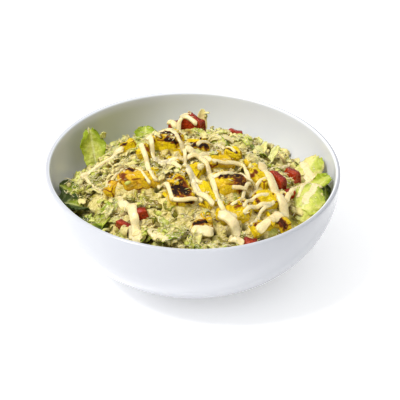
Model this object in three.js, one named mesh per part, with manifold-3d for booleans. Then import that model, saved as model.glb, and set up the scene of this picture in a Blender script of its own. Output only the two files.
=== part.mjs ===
// A chicken caesar salad in its deep round bowl: a heap of chopped lettuce leaves and shreds, pieces of
// grilled chicken breast, diced tomato, and thick dressing squeezed over the top in strokes.
// Millimetres, +Z up. The origin is the centre of the bowl's foot, on the surface that it stands on.
import * as THREE from 'three';
import { mergeVertices } from 'three/addons/utils/BufferGeometryUtils.js';
import Module from 'manifold-3d';

// ---- Driving dimensions ------------------------------------------------------------------------------

// Bowl. Its wall is a superellipse in section, upright at the rim and cut off by the foot.
const RIM_RADIUS = 105;
const BOWL_HEIGHT = 78;
const WALL = 3.5;
const CURVE_DEPTH = 89.3; // height of the whole curve, of which the foot cuts off the last part
const INNER_CURVE_DEPTH = 84;
const FULLNESS = 2.47; // exponents of the superellipse
const ROUNDNESS = 1.6;
const BOWL_FLOOR = 6;
const FOOT_RECESS = 1.6;
const FOOT_WIDTH = 5;
const BOWL_SIDES = 48;

// Heap. Its bare surface is a dome that meets the wall at a level that changes around the bowl.
const DOME_TOP = 86;
const DOME_RADIUS = 97;
const WALL_LEVEL = 47; // mean level at the wall
const WALL_LEVEL_FRONT = 5; // how much higher it is at the front than the mean
const WALL_LEVEL_RIGHT = 3;
const HEAP_GAP = 0.7; // between the heap and the bowl
const TOPPING_GAP = 0.35; // between a topping and what it lies in

// Lettuce.
const LEAF_THICKNESS = 1.3;
const SHRED_THICKNESS = 1.1;
const TIP = 0.5; // share of its width that a leaf loses towards its end
const LEAF_COUNT = 34;
const SHRED_COUNT = 36;
const LEAF_SPACING = 9.5; // least distance from a leaf's middle to its neighbours'
const SHRED_SPACING = 8.5;
const SCATTER_REACH = 88; // radius that the small leaves and the shreds are spread over
const SCATTER_TRIES = 8; // places tried for each before it is left out
const GOLDEN_ANGLE = Math.PI * (3 - Math.sqrt(5));

// Toppings. Each has its centre, the heading of its length, its length, width and height, how far its top
// stands above the bare heap, and its own lean: side to side and end to end, in degrees.
const CHICKEN = [
  { at: [-19, 9], heading: -8, size: [24, 12, 20], rise: 12, lean: [2, 0] },
  { at: [2, 9], heading: 10, size: [18, 11, 10], rise: 5, lean: [0, 6] },
  { at: [2, -21], heading: 60, size: [17, 13, 12], rise: 6, lean: [8, 0] },
  { at: [10, -43], heading: -58, size: [24, 10, 12], rise: 6, lean: [0, 4] },
  { at: [25, -32], heading: 8, size: [24, 17, 13], rise: 8, lean: [-6, 4] },
  { at: [18, -9], heading: 24, size: [21, 12, 11], rise: 5, lean: [6, 0] },
  { at: [28, 6], heading: 16, size: [13, 9, 9], rise: 4, lean: [5, -5] },
  { at: [47, -17], heading: -36, size: [20, 13, 11], rise: 5, lean: [0, 0] },
  { at: [29, -54], heading: 28, size: [23, 16, 12], rise: 6, lean: [4, 0] },
  { at: [49, -38], heading: 30, size: [19, 14, 12], rise: 6, lean: [0, 5] },
  { at: [48, -59], heading: 38, size: [19, 10, 10], rise: 4, lean: [0, 0] },
  { at: [62, -49], heading: -40, size: [14, 10, 10], rise: 3, lean: [0, 0] },
  { at: [-38, -25], heading: -14, size: [26, 16, 12], rise: 8, lean: [-4, 0] },
  { at: [-56, -24], heading: 62, size: [14, 10, 9], rise: 5, lean: [0, 0] },
  { at: [-9, -41], heading: -66, size: [26, 15, 13], rise: 7, lean: [0, 0] },
  { at: [8, -65], heading: 18, size: [14, 11, 9], rise: 2.5, lean: [0, 0] },
  { at: [-48, 33], heading: 24, size: [12, 8, 8], rise: 5, lean: [0, 0] },
  { at: [-34, 4], heading: -12, size: [12, 9, 11], rise: 9, lean: [14, 0] },
];
const TOMATO = [
  { at: [-1, 49], heading: -28, size: [20, 10, 15], rise: 13, lean: [14, 18] },
  { at: [-15, 51], heading: 10, size: [9, 7, 9], rise: 9, lean: [10, 0] },
  { at: [30, 44], heading: -22, size: [13, 8, 9], rise: 6, lean: [0, 0] },
  { at: [60, -10], heading: -52, size: [17, 9, 10], rise: 4, lean: [0, 0] },
  { at: [71, 7], heading: -34, size: [14, 8, 9], rise: 3, lean: [0, 0] },
  { at: [68, -20], heading: 34, size: [9, 7, 8], rise: 3, lean: [0, 0] },
  { at: [-46, -59], heading: -44, size: [14, 6, 8], rise: 4, lean: [0, 0] },
  { at: [-35, -53], heading: 8, size: [11, 6, 7], rise: 4, lean: [0, 0] },
  { at: [40, -73], heading: 10, size: [11, 7, 9], rise: 4, lean: [0, 0] },
];

// Large leaves that stand out of the heap: foot of the leaf, the way it points, its length and width,
// the angle at which it leaves the heap, how much it curls over along its length, and its cup across.
const LARGE_LEAVES = [
  { at: [-72, 33], heading: 110, size: [28, 18], rise: 54, curl: -16, cup: 0.3 },
  { at: [-84, -6], heading: 176, size: [15, 22], rise: 50, curl: 20, cup: 0.3 },
  { at: [-75, -25], heading: 205, size: [22, 24], rise: 34, curl: 20, cup: 0.3 },
  { at: [-62, -46], heading: 228, size: [20, 24], rise: 30, curl: 34, cup: -0.2 },
  { at: [-36, 56], heading: 96, size: [15, 16], rise: 34, curl: 30, cup: 0.3 },
  { at: [5, 54], heading: 82, size: [20, 8], rise: 74, curl: 8, cup: 0.5 },
  { at: [24, 18], heading: 52, size: [24, 20], rise: 22, curl: 40, cup: -0.25 },
  { at: [55, 19], heading: 48, size: [14, 5.5], rise: 38, curl: -12, cup: 0.5 },
  { at: [49, 25], heading: 66, size: [12, 5], rise: 34, curl: -8, cup: 0.5 },
  { at: [78, 9], heading: 58, size: [27, 20], rise: 36, curl: 30, cup: -0.3 },
  { at: [84, -3], heading: 22, size: [20, 20], rise: 46, curl: 14, cup: 0.25 },
  { at: [74, -38], heading: 66, size: [35, 24], rise: 44, curl: 50, cup: -0.35 },
  { at: [-53, -64], heading: 308, size: [21, 18], rise: 24, curl: 38, cup: -0.2 },
  { at: [15, -76], heading: 252, size: [17, 20], rise: 28, curl: 50, cup: 0.25 },
  { at: [-7, -62], heading: 230, size: [24, 18], rise: 26, curl: 50, cup: -0.25 },
  { at: [96, -14], heading: 92, size: [22, 13], rise: 42, curl: 10, cup: 0.3 },
  { at: [78, -24], heading: -14, size: [21, 22], rise: 20, curl: 26, cup: 0.3 },
];

const DRESSING_SPACING = 7; // along a stroke, between the places where it may bend
const DRESSING_LIFT = 0.5; // of a stroke's middle line above what it lies on

// Dressing strokes: the points of a smooth line seen from above, and the stroke's width.
const DRESSING = [
  { line: [[-82, 12], [-70, 18], [-60, 25], [-51, 28]], width: 4 },
  { line: [[-34, 6], [-26, 13], [-17, 14], [-11, 5], [-7, -1]], width: 3.3 },
  { line: [[-31, 8], [-28, -2], [-25, -6]], width: 3.3 },
  { line: [[-38, 12], [-36, 2], [-32, -9], [-28, -26], [-24, -30]], width: 3.6 },
  { line: [[-25, -6], [-18, -8], [-8, -6], [4, -4], [13, -16]], width: 3.2 },
  { line: [[-29, -4], [-19, -7], [-9, -16], [-1, -30], [4, -45], [15, -57]], width: 3.5 },
  { line: [[6, -6], [10, -19], [14, -35], [19, -53], [24, -60], [31, -61]], width: 3.7 },
  { line: [[13, -32], [19, -31], [26, -26], [32, -17], [37, -26], [45, -27]], width: 3.3 },
  { line: [[48, 4], [52, -11], [56, -23], [60, -34], [65, -48]], width: 6.6 },
  { line: [[64, -42], [58, -49], [52, -57], [45, -66]], width: 6.2 },
  { line: [[-8, 51], [-11, 47], [-12, 40]], width: 3.3 },
  { line: [[85, 10], [78, 1], [72, -14], [65, -34]], width: 3.6 },
  { line: [[-43, -42], [-39, -58], [-36, -72]], width: 6.2 },
  { line: [[18, -59], [25, -63], [33, -70]], width: 6.5 },
];

// ---- Solids ------------------------------------------------------------------------------------------

const wasm = await Module();
wasm.setup();

// A repeatable number from 0 to 1 for piece k and purpose s.
function chance(k, s) {
  const wave = Math.sin(k * 12.9898 + s * 78.233) * 43758.5453;
  return wave - Math.floor(wave);
}

function between(low, high, share) {
  return low + (high - low) * share;
}

function solidOf(geometry) {
  const bare = new THREE.BufferGeometry();
  bare.setAttribute('position', geometry.getAttribute('position'));
  bare.setIndex(geometry.getIndex());
  const merged = mergeVertices(bare, 1e-4);
  const corners = [];
  const index = merged.getIndex().array;
  for (let i = 0; i < index.length; i += 3) {
    const [a, b, c] = [index[i], index[i + 1], index[i + 2]];
    if (a !== b && b !== c && c !== a) corners.push(a, b, c);
  }
  const mesh = new wasm.Mesh({
    numProp: 3,
    vertProperties: merged.getAttribute('position').array,
    triVerts: new Uint32Array(corners),
  });
  return new wasm.Manifold(mesh);
}

function geometryOf(solid) {
  const mesh = solid.getMesh();
  const positions = new Float32Array(mesh.numVert * 3);
  for (let i = 0; i < mesh.numVert; i++) {
    positions.set(mesh.vertProperties.subarray(i * mesh.numProp, i * mesh.numProp + 3), i * 3);
  }
  const geometry = new THREE.BufferGeometry();
  geometry.setAttribute('position', new THREE.BufferAttribute(positions, 3));
  geometry.setIndex(new THREE.BufferAttribute(mesh.triVerts, 1));
  return geometry;
}

// The largest body of a solid, without the scraps that a cut leaves.
function largestBody(solid) {
  return solid.decompose().reduce((best, body) => (body.volume() > best.volume() ? body : best));
}

// ---- Bowl --------------------------------------------------------------------------------------------

function wallRadius(z, rim, depth) {
  const share = Math.min(1, Math.max(0, (BOWL_HEIGHT - z) / depth));
  return rim * (1 - share ** FULLNESS) ** (1 / ROUNDNESS);
}

const outerRadius = (z) => wallRadius(z, RIM_RADIUS, CURVE_DEPTH);
const innerRadius = (z) => wallRadius(z, RIM_RADIUS - WALL, INNER_CURVE_DEPTH);

// Heights from one level to another, closer together near the low one, where the wall turns most.
function levels(low, high, count) {
  return Array.from({ length: count }, (_, i) => between(low, high, (i / (count - 1)) ** 1.35));
}

function lathe(points, sides) {
  const geometry = new THREE.LatheGeometry(points.map(([r, z]) => new THREE.Vector2(r, z)), sides);
  return geometry.rotateX(Math.PI / 2);
}

const LIP = WALL / 2;
const INSIDE_LEVELS = levels(BOWL_FLOOR, BOWL_HEIGHT - LIP, 5);

function bowlGeometry() {
  const lipLevel = BOWL_HEIGHT - LIP;
  const footRadius = outerRadius(0);
  const outside = levels(0, lipLevel, 6).map((z) => [outerRadius(z), z]);
  const rounded = [0.22, 0.5, 0.78].map((turn) => [
    RIM_RADIUS - LIP + LIP * Math.cos(turn * Math.PI),
    lipLevel + LIP * Math.sin(turn * Math.PI),
  ]);
  const inside = INSIDE_LEVELS.map((z) => [innerRadius(z), z]).reverse();
  return lathe([
    [0, FOOT_RECESS],
    [footRadius - FOOT_WIDTH - FOOT_RECESS, FOOT_RECESS],
    [footRadius - FOOT_WIDTH, 0],
    ...outside,
    ...rounded,
    ...inside,
    [0, BOWL_FLOOR],
  ], BOWL_SIDES);
}

// The space that food may fill: the bowl's inside less a gap, and the air straight above it.
function foodSpace() {
  const airTop = BOWL_HEIGHT + 60;
  const wall = INSIDE_LEVELS.map((z) => [innerRadius(z) - HEAP_GAP, z + HEAP_GAP]);
  const [airRadius] = wall.at(-1);
  const outline = [[0, BOWL_FLOOR + HEAP_GAP], ...wall, [airRadius, airTop], [0, airTop]];
  return solidOf(lathe(outline, BOWL_SIDES / 2));
}

// ---- Heap --------------------------------------------------------------------------------------------

function domeHeight(x, y) {
  const radius = Math.hypot(x, y);
  const [across, back] = radius > 0 ? [x / radius, y / radius] : [0, 0];
  const level = WALL_LEVEL - WALL_LEVEL_FRONT * back + WALL_LEVEL_RIGHT * across;
  return level + (DOME_TOP - level) * (1 - (radius / DOME_RADIUS) ** 2);
}

// The way that the bare heap faces at a place.
function domeNormal(x, y) {
  const step = 1;
  const slopeX = (domeHeight(x + step, y) - domeHeight(x - step, y)) / (2 * step);
  const slopeY = (domeHeight(x, y + step) - domeHeight(x, y - step)) / (2 * step);
  return new THREE.Vector3(-slopeX, -slopeY, 1).normalize();
}

// The core lies under the pieces that show, and is as rough as chopped lettuce itself.
function coreGeometry() {
  const [depth, roughness] = [2.6, 2];
  const [sides, rings, reach, foot] = [26, 6, DOME_RADIUS + 8, 1];
  const points = [new THREE.Vector3(0, 0, DOME_TOP - depth), new THREE.Vector3(0, 0, foot)];
  const cell = (ring, side) => 2 + ring * sides + (side % sides);
  for (let ring = 0; ring <= rings; ring++) {
    const radius = reach * (Math.min(ring + 1, rings) / rings) ** 0.85;
    for (let side = 0; side < sides; side++) {
      const angle = (side / sides) * 2 * Math.PI;
      const [x, y] = [radius * Math.cos(angle), radius * Math.sin(angle)];
      const lump = between(-roughness, roughness, chance(ring * sides + side, 30));
      const height = ring === rings ? foot : domeHeight(x, y) - depth + lump;
      points.push(new THREE.Vector3(x, y, height));
    }
  }
  const faces = [];
  for (let side = 0; side < sides; side++) {
    faces.push(0, cell(0, side), cell(0, side + 1));
    for (let ring = 0; ring < rings; ring++) {
      const [a, b] = [cell(ring, side), cell(ring, side + 1)];
      const [c, d] = [cell(ring + 1, side), cell(ring + 1, side + 1)];
      faces.push(a, c, d, a, d, b);
    }
    faces.push(1, cell(rings, side + 1), cell(rings, side));
  }
  return new THREE.BufferGeometry().setFromPoints(points).setIndex(faces);
}

// A closed thin sheet. The surface maps u and v, from 0 to 1, to a point, and both faces are split alike.
function sheetGeometry(surface, thickness, columns, rows) {
  const points = [];
  const step = 0.02;
  const upper = (i, j) => 2 * (i * (rows + 1) + j);
  for (let i = 0; i <= columns; i++) {
    for (let j = 0; j <= rows; j++) {
      const [u, v] = [i / columns, j / rows];
      const along = surface(u + step, v).sub(surface(u - step, v));
      const across = surface(u, v + step).sub(surface(u, v - step));
      const half = along.cross(across).normalize().multiplyScalar(thickness / 2);
      points.push(surface(u, v).add(half), surface(u, v).sub(half));
    }
  }
  const faces = [];
  const side = (a, b) => faces.push(a, a + 1, b + 1, a, b + 1, b);
  for (let i = 0; i < columns; i++) {
    for (let j = 0; j < rows; j++) {
      const [a, b, c, d] = [upper(i, j), upper(i + 1, j), upper(i + 1, j + 1), upper(i, j + 1)];
      faces.push(a, b, c, a, c, d, a + 1, c + 1, b + 1, a + 1, d + 1, c + 1);
    }
    side(upper(i, 0), upper(i + 1, 0));
    side(upper(i + 1, rows), upper(i, rows));
  }
  for (let j = 0; j < rows; j++) {
    side(upper(0, j + 1), upper(0, j));
    side(upper(columns, j), upper(columns, j + 1));
  }
  return new THREE.BufferGeometry().setFromPoints(points).setIndex(faces);
}

// A leaf lies along +X from its foot at the origin, curls over along its length and is cupped across it.
function leafSurface({ size: [length, width], curl, cup }, phase) {
  const bend = THREE.MathUtils.degToRad(curl) || 1e-3;
  return (u, v) => {
    const side = 2 * v - 1;
    const narrowing = 1 - TIP * THREE.MathUtils.clamp((u - 0.6) / 0.4, 0, 1) ** 2;
    const half = (width / 2) * (0.5 + 0.5 * Math.sin(Math.PI * (0.12 + 0.76 * u))) * narrowing;
    const ruffle = 0.07 * width * side * side * Math.sin(9 * u + 2.2 * side + phase);
    const x = (length / bend) * Math.sin(bend * u);
    const drop = (length / bend) * (1 - Math.cos(bend * u));
    return new THREE.Vector3(x, side * half, -drop + cup * half * side * side + ruffle);
  };
}

// Sets a leaf on the heap by its foot: +X along its heading, raised by the angle rise, and rolled over.
function plant(geometry, [x, y], heading, rise, roll, lift) {
  const turn = new THREE.Matrix4()
    .makeRotationZ(THREE.MathUtils.degToRad(heading))
    .multiply(new THREE.Matrix4().makeRotationY(-THREE.MathUtils.degToRad(rise)))
    .multiply(new THREE.Matrix4().makeRotationX(THREE.MathUtils.degToRad(roll)));
  return geometry.applyMatrix4(turn).translate(x, y, domeHeight(x, y) + lift);
}

// The angle of the bare heap's surface along a heading, upward positive.
function slopeAlong([x, y], heading) {
  const normal = domeNormal(x, y);
  const angle = THREE.MathUtils.degToRad(heading);
  const fall = (normal.x * Math.cos(angle) + normal.y * Math.sin(angle)) / normal.z;
  return -THREE.MathUtils.radToDeg(Math.atan(fall));
}

// Whether a leaf keeps clear of the bowl and of every topping.
function fits(geometry) {
  const place = geometry.getAttribute('position');
  const corner = new THREE.Vector3();
  for (let i = 0; i < place.count; i++) {
    corner.fromBufferAttribute(place, i);
    const limit = innerRadius(Math.min(corner.z, BOWL_HEIGHT)) - HEAP_GAP;
    if (Math.hypot(corner.x, corner.y) > limit || nearTopping(corner)) return false;
  }
  return true;
}

function middleOf(geometry) {
  geometry.computeBoundingBox();
  return geometry.boundingBox.getCenter(new THREE.Vector3());
}

// Leaves on a spiral that covers the heap evenly. Each is drawn again, a little way off, until it fits
// between the toppings and the leaves that lie there already.
function scatter(count, start, spacing, drawSheet, lying) {
  const sheets = [...lying];
  for (let k = 0; k < count; k++) {
    const radius = SCATTER_REACH * Math.sqrt((k + 0.5) / count);
    const angle = k * GOLDEN_ANGLE + start;
    for (let attempt = 0; attempt < SCATTER_TRIES; attempt++) {
      const draw = (purpose, low, high) => between(low, high, chance(k + 0.37 * attempt, purpose));
      const at = [
        radius * Math.cos(angle) + attempt * draw(9, -1.5, 1.5),
        radius * Math.sin(angle) + attempt * draw(10, -1.5, 1.5),
      ];
      const sheet = drawSheet(at, draw);
      const middle = middleOf(sheet);
      if (fits(sheet) && sheets.every((other) => middleOf(other).distanceTo(middle) > spacing)) {
        sheets.push(sheet);
        break;
      }
    }
  }
  return sheets;
}

function largeLeaf(leaf, k) {
  const sheet = sheetGeometry(leafSurface(leaf, k * 1.7), LEAF_THICKNESS, 4, 3);
  return plant(sheet, leaf.at, leaf.heading, leaf.rise, between(-12, 12, chance(k, 1)), -4);
}

function smallLeaf(at, draw) {
  const heading = draw(2, 0, 360);
  const size = [draw(3, 13, 22), draw(4, 9, 16)];
  const leaf = { size, curl: draw(5, 20, 70), cup: draw(6, -0.35, 0.35) };
  const sheet = sheetGeometry(leafSurface(leaf, draw(11, 0, 6)), LEAF_THICKNESS, 3, 2);
  return plant(sheet, at, heading, slopeAlong(at, heading) + draw(7, 14, 34), draw(8, -20, 20), -3);
}

function shred(at, draw) {
  const heading = draw(12, 0, 360);
  const size = [draw(13, 11, 22), draw(14, 3, 5.5)];
  const strip = { size, curl: draw(15, 40, 100), cup: draw(16, -0.3, 0.5) };
  const sheet = sheetGeometry(leafSurface(strip, draw(19, 0, 6)), SHRED_THICKNESS, 3, 1);
  return plant(sheet, at, heading, slopeAlong(at, heading) + draw(17, 24, 48), draw(18, -25, 25), -3);
}

function lettuceSolid() {
  const large = LARGE_LEAVES.map(largeLeaf);
  const leaves = scatter(LEAF_COUNT, 0.4, LEAF_SPACING, smallLeaf, large);
  const sheets = scatter(SHRED_COUNT, 2.1, SHRED_SPACING, shred, leaves);
  return sheets.reduce((heap, sheet) => heap.add(solidOf(sheet)), solidOf(coreGeometry()));
}

// ---- Toppings ----------------------------------------------------------------------------------------

// How a kind of topping is cut: how round its edges are, and how much narrower it is at its top.
const MEAT = { rounding: 0.42, taper: 0.1, seed: 0 };
const FRUIT = { rounding: 0.25, taper: 0.3, seed: 40 };

// An uneven block with rounded edges, longest along X. Grow adds to it all round.
function chunkGeometry([length, width, height], seed, { rounding, taper }, grow) {
  const geometry = new THREE.BoxGeometry(2, 2, 2, length > 15 ? 3 : 2, 2, 2);
  const place = geometry.getAttribute('position');
  const half = new THREE.Vector3(length / 2 + grow, width / 2 + grow, height / 2 + grow);
  const v = new THREE.Vector3();
  for (let i = 0; i < place.count; i++) {
    v.fromBufferAttribute(place, i);
    const ball = v.clone().normalize().multiplyScalar(1.2);
    const p = v.clone().lerp(ball, rounding);
    p.x *= 1 + 0.1 * Math.sin(2.1 * v.y + 1.7 * seed);
    p.y *= 1 + 0.14 * Math.sin(1.9 * v.x + 2.3 * seed);
    p.z *= 1 + 0.1 * Math.sin(2.3 * v.x + 1.1 * v.y + 0.7 * seed);
    p.x *= 1 - taper * (v.z + 1) / 2;
    p.y *= 1 - taper * (v.z + 1) / 2;
    p.x += 0.12 * v.z * Math.sin(5.1 * seed);
    p.y += 0.12 * v.x * v.x * Math.sin(3.3 * seed);
    p.multiply(half);
    place.setXYZ(i, p.x, p.y, p.z);
  }
  return geometry;
}

// Where a topping sits: it leans most of the way with the slope of the heap, and then by its own lean.
function seatOf({ at: [x, y], heading, size, rise, lean }) {
  const up = new THREE.Vector3(0, 0, 1);
  const tilt = new THREE.Quaternion().setFromUnitVectors(up, domeNormal(x, y).lerp(up, 0.3).normalize());
  const own = new THREE.Euler(...[...lean, heading].map(THREE.MathUtils.degToRad), 'ZYX');
  const centre = new THREE.Vector3(x, y, domeHeight(x, y) + rise - size[2] / 2);
  const turn = tilt.multiply(new THREE.Quaternion().setFromEuler(own));
  return new THREE.Matrix4().compose(centre, turn, new THREE.Vector3(1, 1, 1));
}

const topping = (kind, look) => (piece, k) => ({
  name: `${kind}_${k + 1}`,
  size: piece.size,
  seat: seatOf(piece),
  block: (grow) => chunkGeometry(piece.size, k + look.seed, look, grow).applyMatrix4(seatOf(piece)),
});
const TOPPINGS = [...CHICKEN.map(topping('chicken', MEAT)), ...TOMATO.map(topping('tomato', FRUIT))];

// Whether a point is in a topping, or nearer to it than lettuce may lie.
function nearTopping(point) {
  return TOPPINGS.some(({ seat, size }) => {
    const own = point.clone().applyMatrix4(seat.clone().invert());
    const [x, y, z] = own.toArray().map((value, axis) => Math.abs(value) / (size[axis] / 2 + 1));
    return x ** 3 + y ** 3 + z ** 3 < 1;
  });
}

// ---- Dressing ----------------------------------------------------------------------------------------

// Each stroke lies on the tops of what is under it. It is cut into runs, one for each thing that it lies
// on, and a run carries the name of that thing.
function dressingRuns(lettuce) {
  const surface = (name, geometry) => {
    const mesh = new THREE.Mesh(geometry, new THREE.MeshBasicMaterial({ side: THREE.DoubleSide }));
    mesh.name = name;
    return mesh;
  };
  const toppings = TOPPINGS.map(({ name, block }) => surface(name, block(0)));
  const under = [surface('salad', geometryOf(lettuce)), ...toppings];
  const down = new THREE.Raycaster();
  const runs = [];
  for (const { line, width } of DRESSING) {
    const route = new THREE.SplineCurve(line.map(([x, y]) => new THREE.Vector2(x, y)));
    let run = null;
    for (const { x, y } of route.getSpacedPoints(Math.round(route.getLength()))) {
      down.set(new THREE.Vector3(x, y, 200), new THREE.Vector3(0, 0, -1));
      const [hit] = down.intersectObjects(under);
      if (!run || run.on !== hit.object.name) {
        run = { on: hit.object.name, width, points: [] };
        runs.push(run);
      }
      run.points.push(hit.point);
    }
  }
  return runs.filter((run) => run.points.length > DRESSING_SPACING).map(smoothRun);
}

// Thins the points of a run out and lays the run on the highest of what is near each point.
function smoothRun(run) {
  const last = run.points.length - 1;
  const count = Math.max(2, Math.round(last / DRESSING_SPACING));
  const points = Array.from({ length: count + 1 }, (_, i) => {
    const middle = Math.round((i / count) * last);
    const near = run.points.slice(Math.max(0, middle - 2), middle + 3).map((point) => point.z);
    const { x, y } = run.points[middle];
    return new THREE.Vector3(x, y, between(run.points[middle].z, Math.max(...near), 0.6) + DRESSING_LIFT);
  });
  return { ...run, points };
}

function strokeSolid({ points, width }, grow) {
  const section = new THREE.Shape();
  const [sides, radius] = [4, 0.46 * width + grow];
  for (let i = 0; i < sides; i++) {
    const angle = (i / sides) * 2 * Math.PI;
    const corner = [radius * Math.cos(angle), radius * Math.sin(angle)];
    if (i) section.lineTo(...corner);
    else section.moveTo(...corner);
  }
  const extrudePath = new THREE.CatmullRomCurve3(points);
  return solidOf(new THREE.ExtrudeGeometry(section, { steps: points.length - 1, extrudePath }));
}

// ---- Assembly ----------------------------------------------------------------------------------------

function assemble() {
  const lettuce = lettuceSolid();
  const runs = dressingRuns(lettuce);
  const withDressing = (solid, name, grow) =>
    runs.filter((run) => run.on === name).reduce((whole, run) => whole.add(strokeSolid(run, grow)), solid);
  const solids = new Map();
  let taken = null;
  for (const { name, block } of TOPPINGS) {
    const whole = withDressing(solidOf(block(0)), name, 0);
    const clear = withDressing(solidOf(block(TOPPING_GAP)), name, TOPPING_GAP);
    solids.set(name, largestBody(taken ? whole.subtract(taken) : whole));
    taken = taken ? taken.add(clear) : clear;
  }
  const heap = withDressing(lettuce, 'salad', 0).intersect(foodSpace()).subtract(taken);
  solids.set('salad', largestBody(heap));
  return solids;
}

const MATERIALS = {
  bowl: new THREE.MeshStandardMaterial({ color: 0xf1f1f3, roughness: 0.18, metalness: 0 }),
  salad: new THREE.MeshStandardMaterial({ color: 0xd2d68a, roughness: 0.55, metalness: 0 }),
  chicken: new THREE.MeshStandardMaterial({ color: 0xd9a92c, roughness: 0.6, metalness: 0 }),
  tomato: new THREE.MeshStandardMaterial({ color: 0xb03418, roughness: 0.3, metalness: 0 }),
};

function named(name, geometry, material) {
  const mesh = new THREE.Mesh(geometry, material);
  mesh.name = name;
  return mesh;
}

const whole = new THREE.Group();
whole.add(named('bowl', bowlGeometry(), MATERIALS.bowl));
for (const [name, solid] of assemble()) {
  whole.add(named(name, geometryOf(solid), MATERIALS[name.split('_')[0]]));
}

export default whole;
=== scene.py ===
"""A chicken caesar salad in its deep white bowl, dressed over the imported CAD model.

Everything is worked out in millimetres, with +Z up and the bowl's foot at the origin, and turned into
metres when a mesh is made. The leaves, toppings and dressing strokes follow the same named values as
the solids that they stand for.
"""
import math

import bpy
import numpy as np
from mathutils import Matrix, Vector
from mathutils.bvhtree import BVHTree


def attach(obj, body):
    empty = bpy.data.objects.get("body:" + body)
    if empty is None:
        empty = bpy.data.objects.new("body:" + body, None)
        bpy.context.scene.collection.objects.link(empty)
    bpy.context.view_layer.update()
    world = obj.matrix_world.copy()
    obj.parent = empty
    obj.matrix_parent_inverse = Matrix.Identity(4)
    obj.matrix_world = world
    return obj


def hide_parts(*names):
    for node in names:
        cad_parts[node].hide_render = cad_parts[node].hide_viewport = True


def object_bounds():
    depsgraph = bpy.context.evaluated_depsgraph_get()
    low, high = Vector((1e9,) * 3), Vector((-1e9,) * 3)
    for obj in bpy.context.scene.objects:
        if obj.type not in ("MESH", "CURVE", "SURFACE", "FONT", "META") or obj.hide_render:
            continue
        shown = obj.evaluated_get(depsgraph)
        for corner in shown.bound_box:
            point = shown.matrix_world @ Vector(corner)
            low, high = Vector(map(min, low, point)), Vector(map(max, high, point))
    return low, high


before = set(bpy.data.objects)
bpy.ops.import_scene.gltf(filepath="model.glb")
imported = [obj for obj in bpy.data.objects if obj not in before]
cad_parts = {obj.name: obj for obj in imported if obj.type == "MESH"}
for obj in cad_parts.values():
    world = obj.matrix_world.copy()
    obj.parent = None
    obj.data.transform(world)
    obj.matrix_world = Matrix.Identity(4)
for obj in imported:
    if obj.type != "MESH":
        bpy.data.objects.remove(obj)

CAD_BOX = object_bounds()
NODES = sorted(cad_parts)
FOOD = [name for name in NODES if name != "bowl"]
MM = 0.001
TAU = 2 * math.pi

# ---- Sizes shared with the solids ----------------------------------------------------------------------

RIM_RADIUS, BOWL_HEIGHT, WALL = 105.0, 78.0, 3.5
CURVE_DEPTH, INNER_CURVE_DEPTH = 89.3, 84.0
FULLNESS, ROUNDNESS = 2.47, 1.6
BOWL_FLOOR, FOOT_RECESS, FOOT_WIDTH = 6.0, 1.6, 5.0

DOME_TOP, DOME_RADIUS = 86.0, 97.0
WALL_LEVEL, WALL_LEVEL_FRONT, WALL_LEVEL_RIGHT = 47.0, 5.0, 3.0
CORE_DEPTH = 2.6
HEAP_GAP = 0.7

LEAF_THICKNESS, SHRED_THICKNESS = 1.3, 1.1
TIP = 0.5
LEAF_COUNT, SHRED_COUNT = 34, 36
LEAF_SPACING, SHRED_SPACING = 9.5, 8.5
SCATTER_REACH, SCATTER_TRIES = 88.0, 8
GOLDEN_ANGLE = math.pi * (3 - math.sqrt(5))

# ---- Sizes that only this scene has --------------------------------------------------------------------

UP, DROP_HEIGHT = Vector((0, 0, 1)), 200.0
PRESSED = 2.0
BED_RADIUS, BED_CELL, BED_REACH, BED_DEPTH = 84.0, 1.5, 3, 1.3
BITS_REACH, FINE_REACH = 93.0, 92.0
POURED_SPACING = 0.8
# The oval in the middle of the heap that holds most of the toppings: its centre and its half sizes.
MIDDLE_X, MIDDLE_Y, MIDDLE_WIDTH, MIDDLE_DEPTH = 14, -20, 52, 44

# ---- Things placed one by one --------------------------------------------------------------------------

# Chicken: centre, heading, size, rise over the heap, lean, and how golden it is (0 is yellow, 1 is gold).
CHICKEN = [
    ((-19, 9), -8, (24, 12, 20), 12, (2, 0), 0.10),
    ((2, 9), 10, (18, 11, 10), 5, (0, 6), 0.55),
    ((2, -21), 60, (17, 13, 12), 6, (8, 0), 0.12),
    ((10, -43), -58, (24, 10, 12), 6, (0, 4), 0.05),
    ((25, -32), 8, (24, 17, 13), 8, (-6, 4), 0.45),
    ((18, -9), 24, (21, 12, 11), 5, (6, 0), 0.50),
    ((28, 6), 16, (13, 9, 9), 4, (5, -5), 0.15),
    ((47, -17), -36, (20, 13, 11), 5, (0, 0), 0.35),
    ((29, -54), 28, (23, 16, 12), 6, (4, 0), 0.45),
    ((49, -38), 30, (19, 14, 12), 6, (0, 5), 0.30),
    ((48, -59), 38, (19, 10, 10), 4, (0, 0), 0.18),
    ((62, -49), -40, (14, 10, 10), 3, (0, 0), 0.65),
    ((-38, -25), -14, (26, 16, 12), 8, (-4, 0), 0.90),
    ((-56, -24), 62, (14, 10, 9), 5, (0, 0), 0.90),
    ((-9, -41), -66, (26, 15, 13), 7, (0, 0), 0.60),
    ((8, -65), 18, (14, 11, 9), 2.5, (0, 0), 0.75),
    ((-48, 33), 24, (12, 8, 8), 5, (0, 0), 0.20),
    ((-34, 4), -12, (12, 9, 11), 9, (14, 0), 0.35),
]
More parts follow.
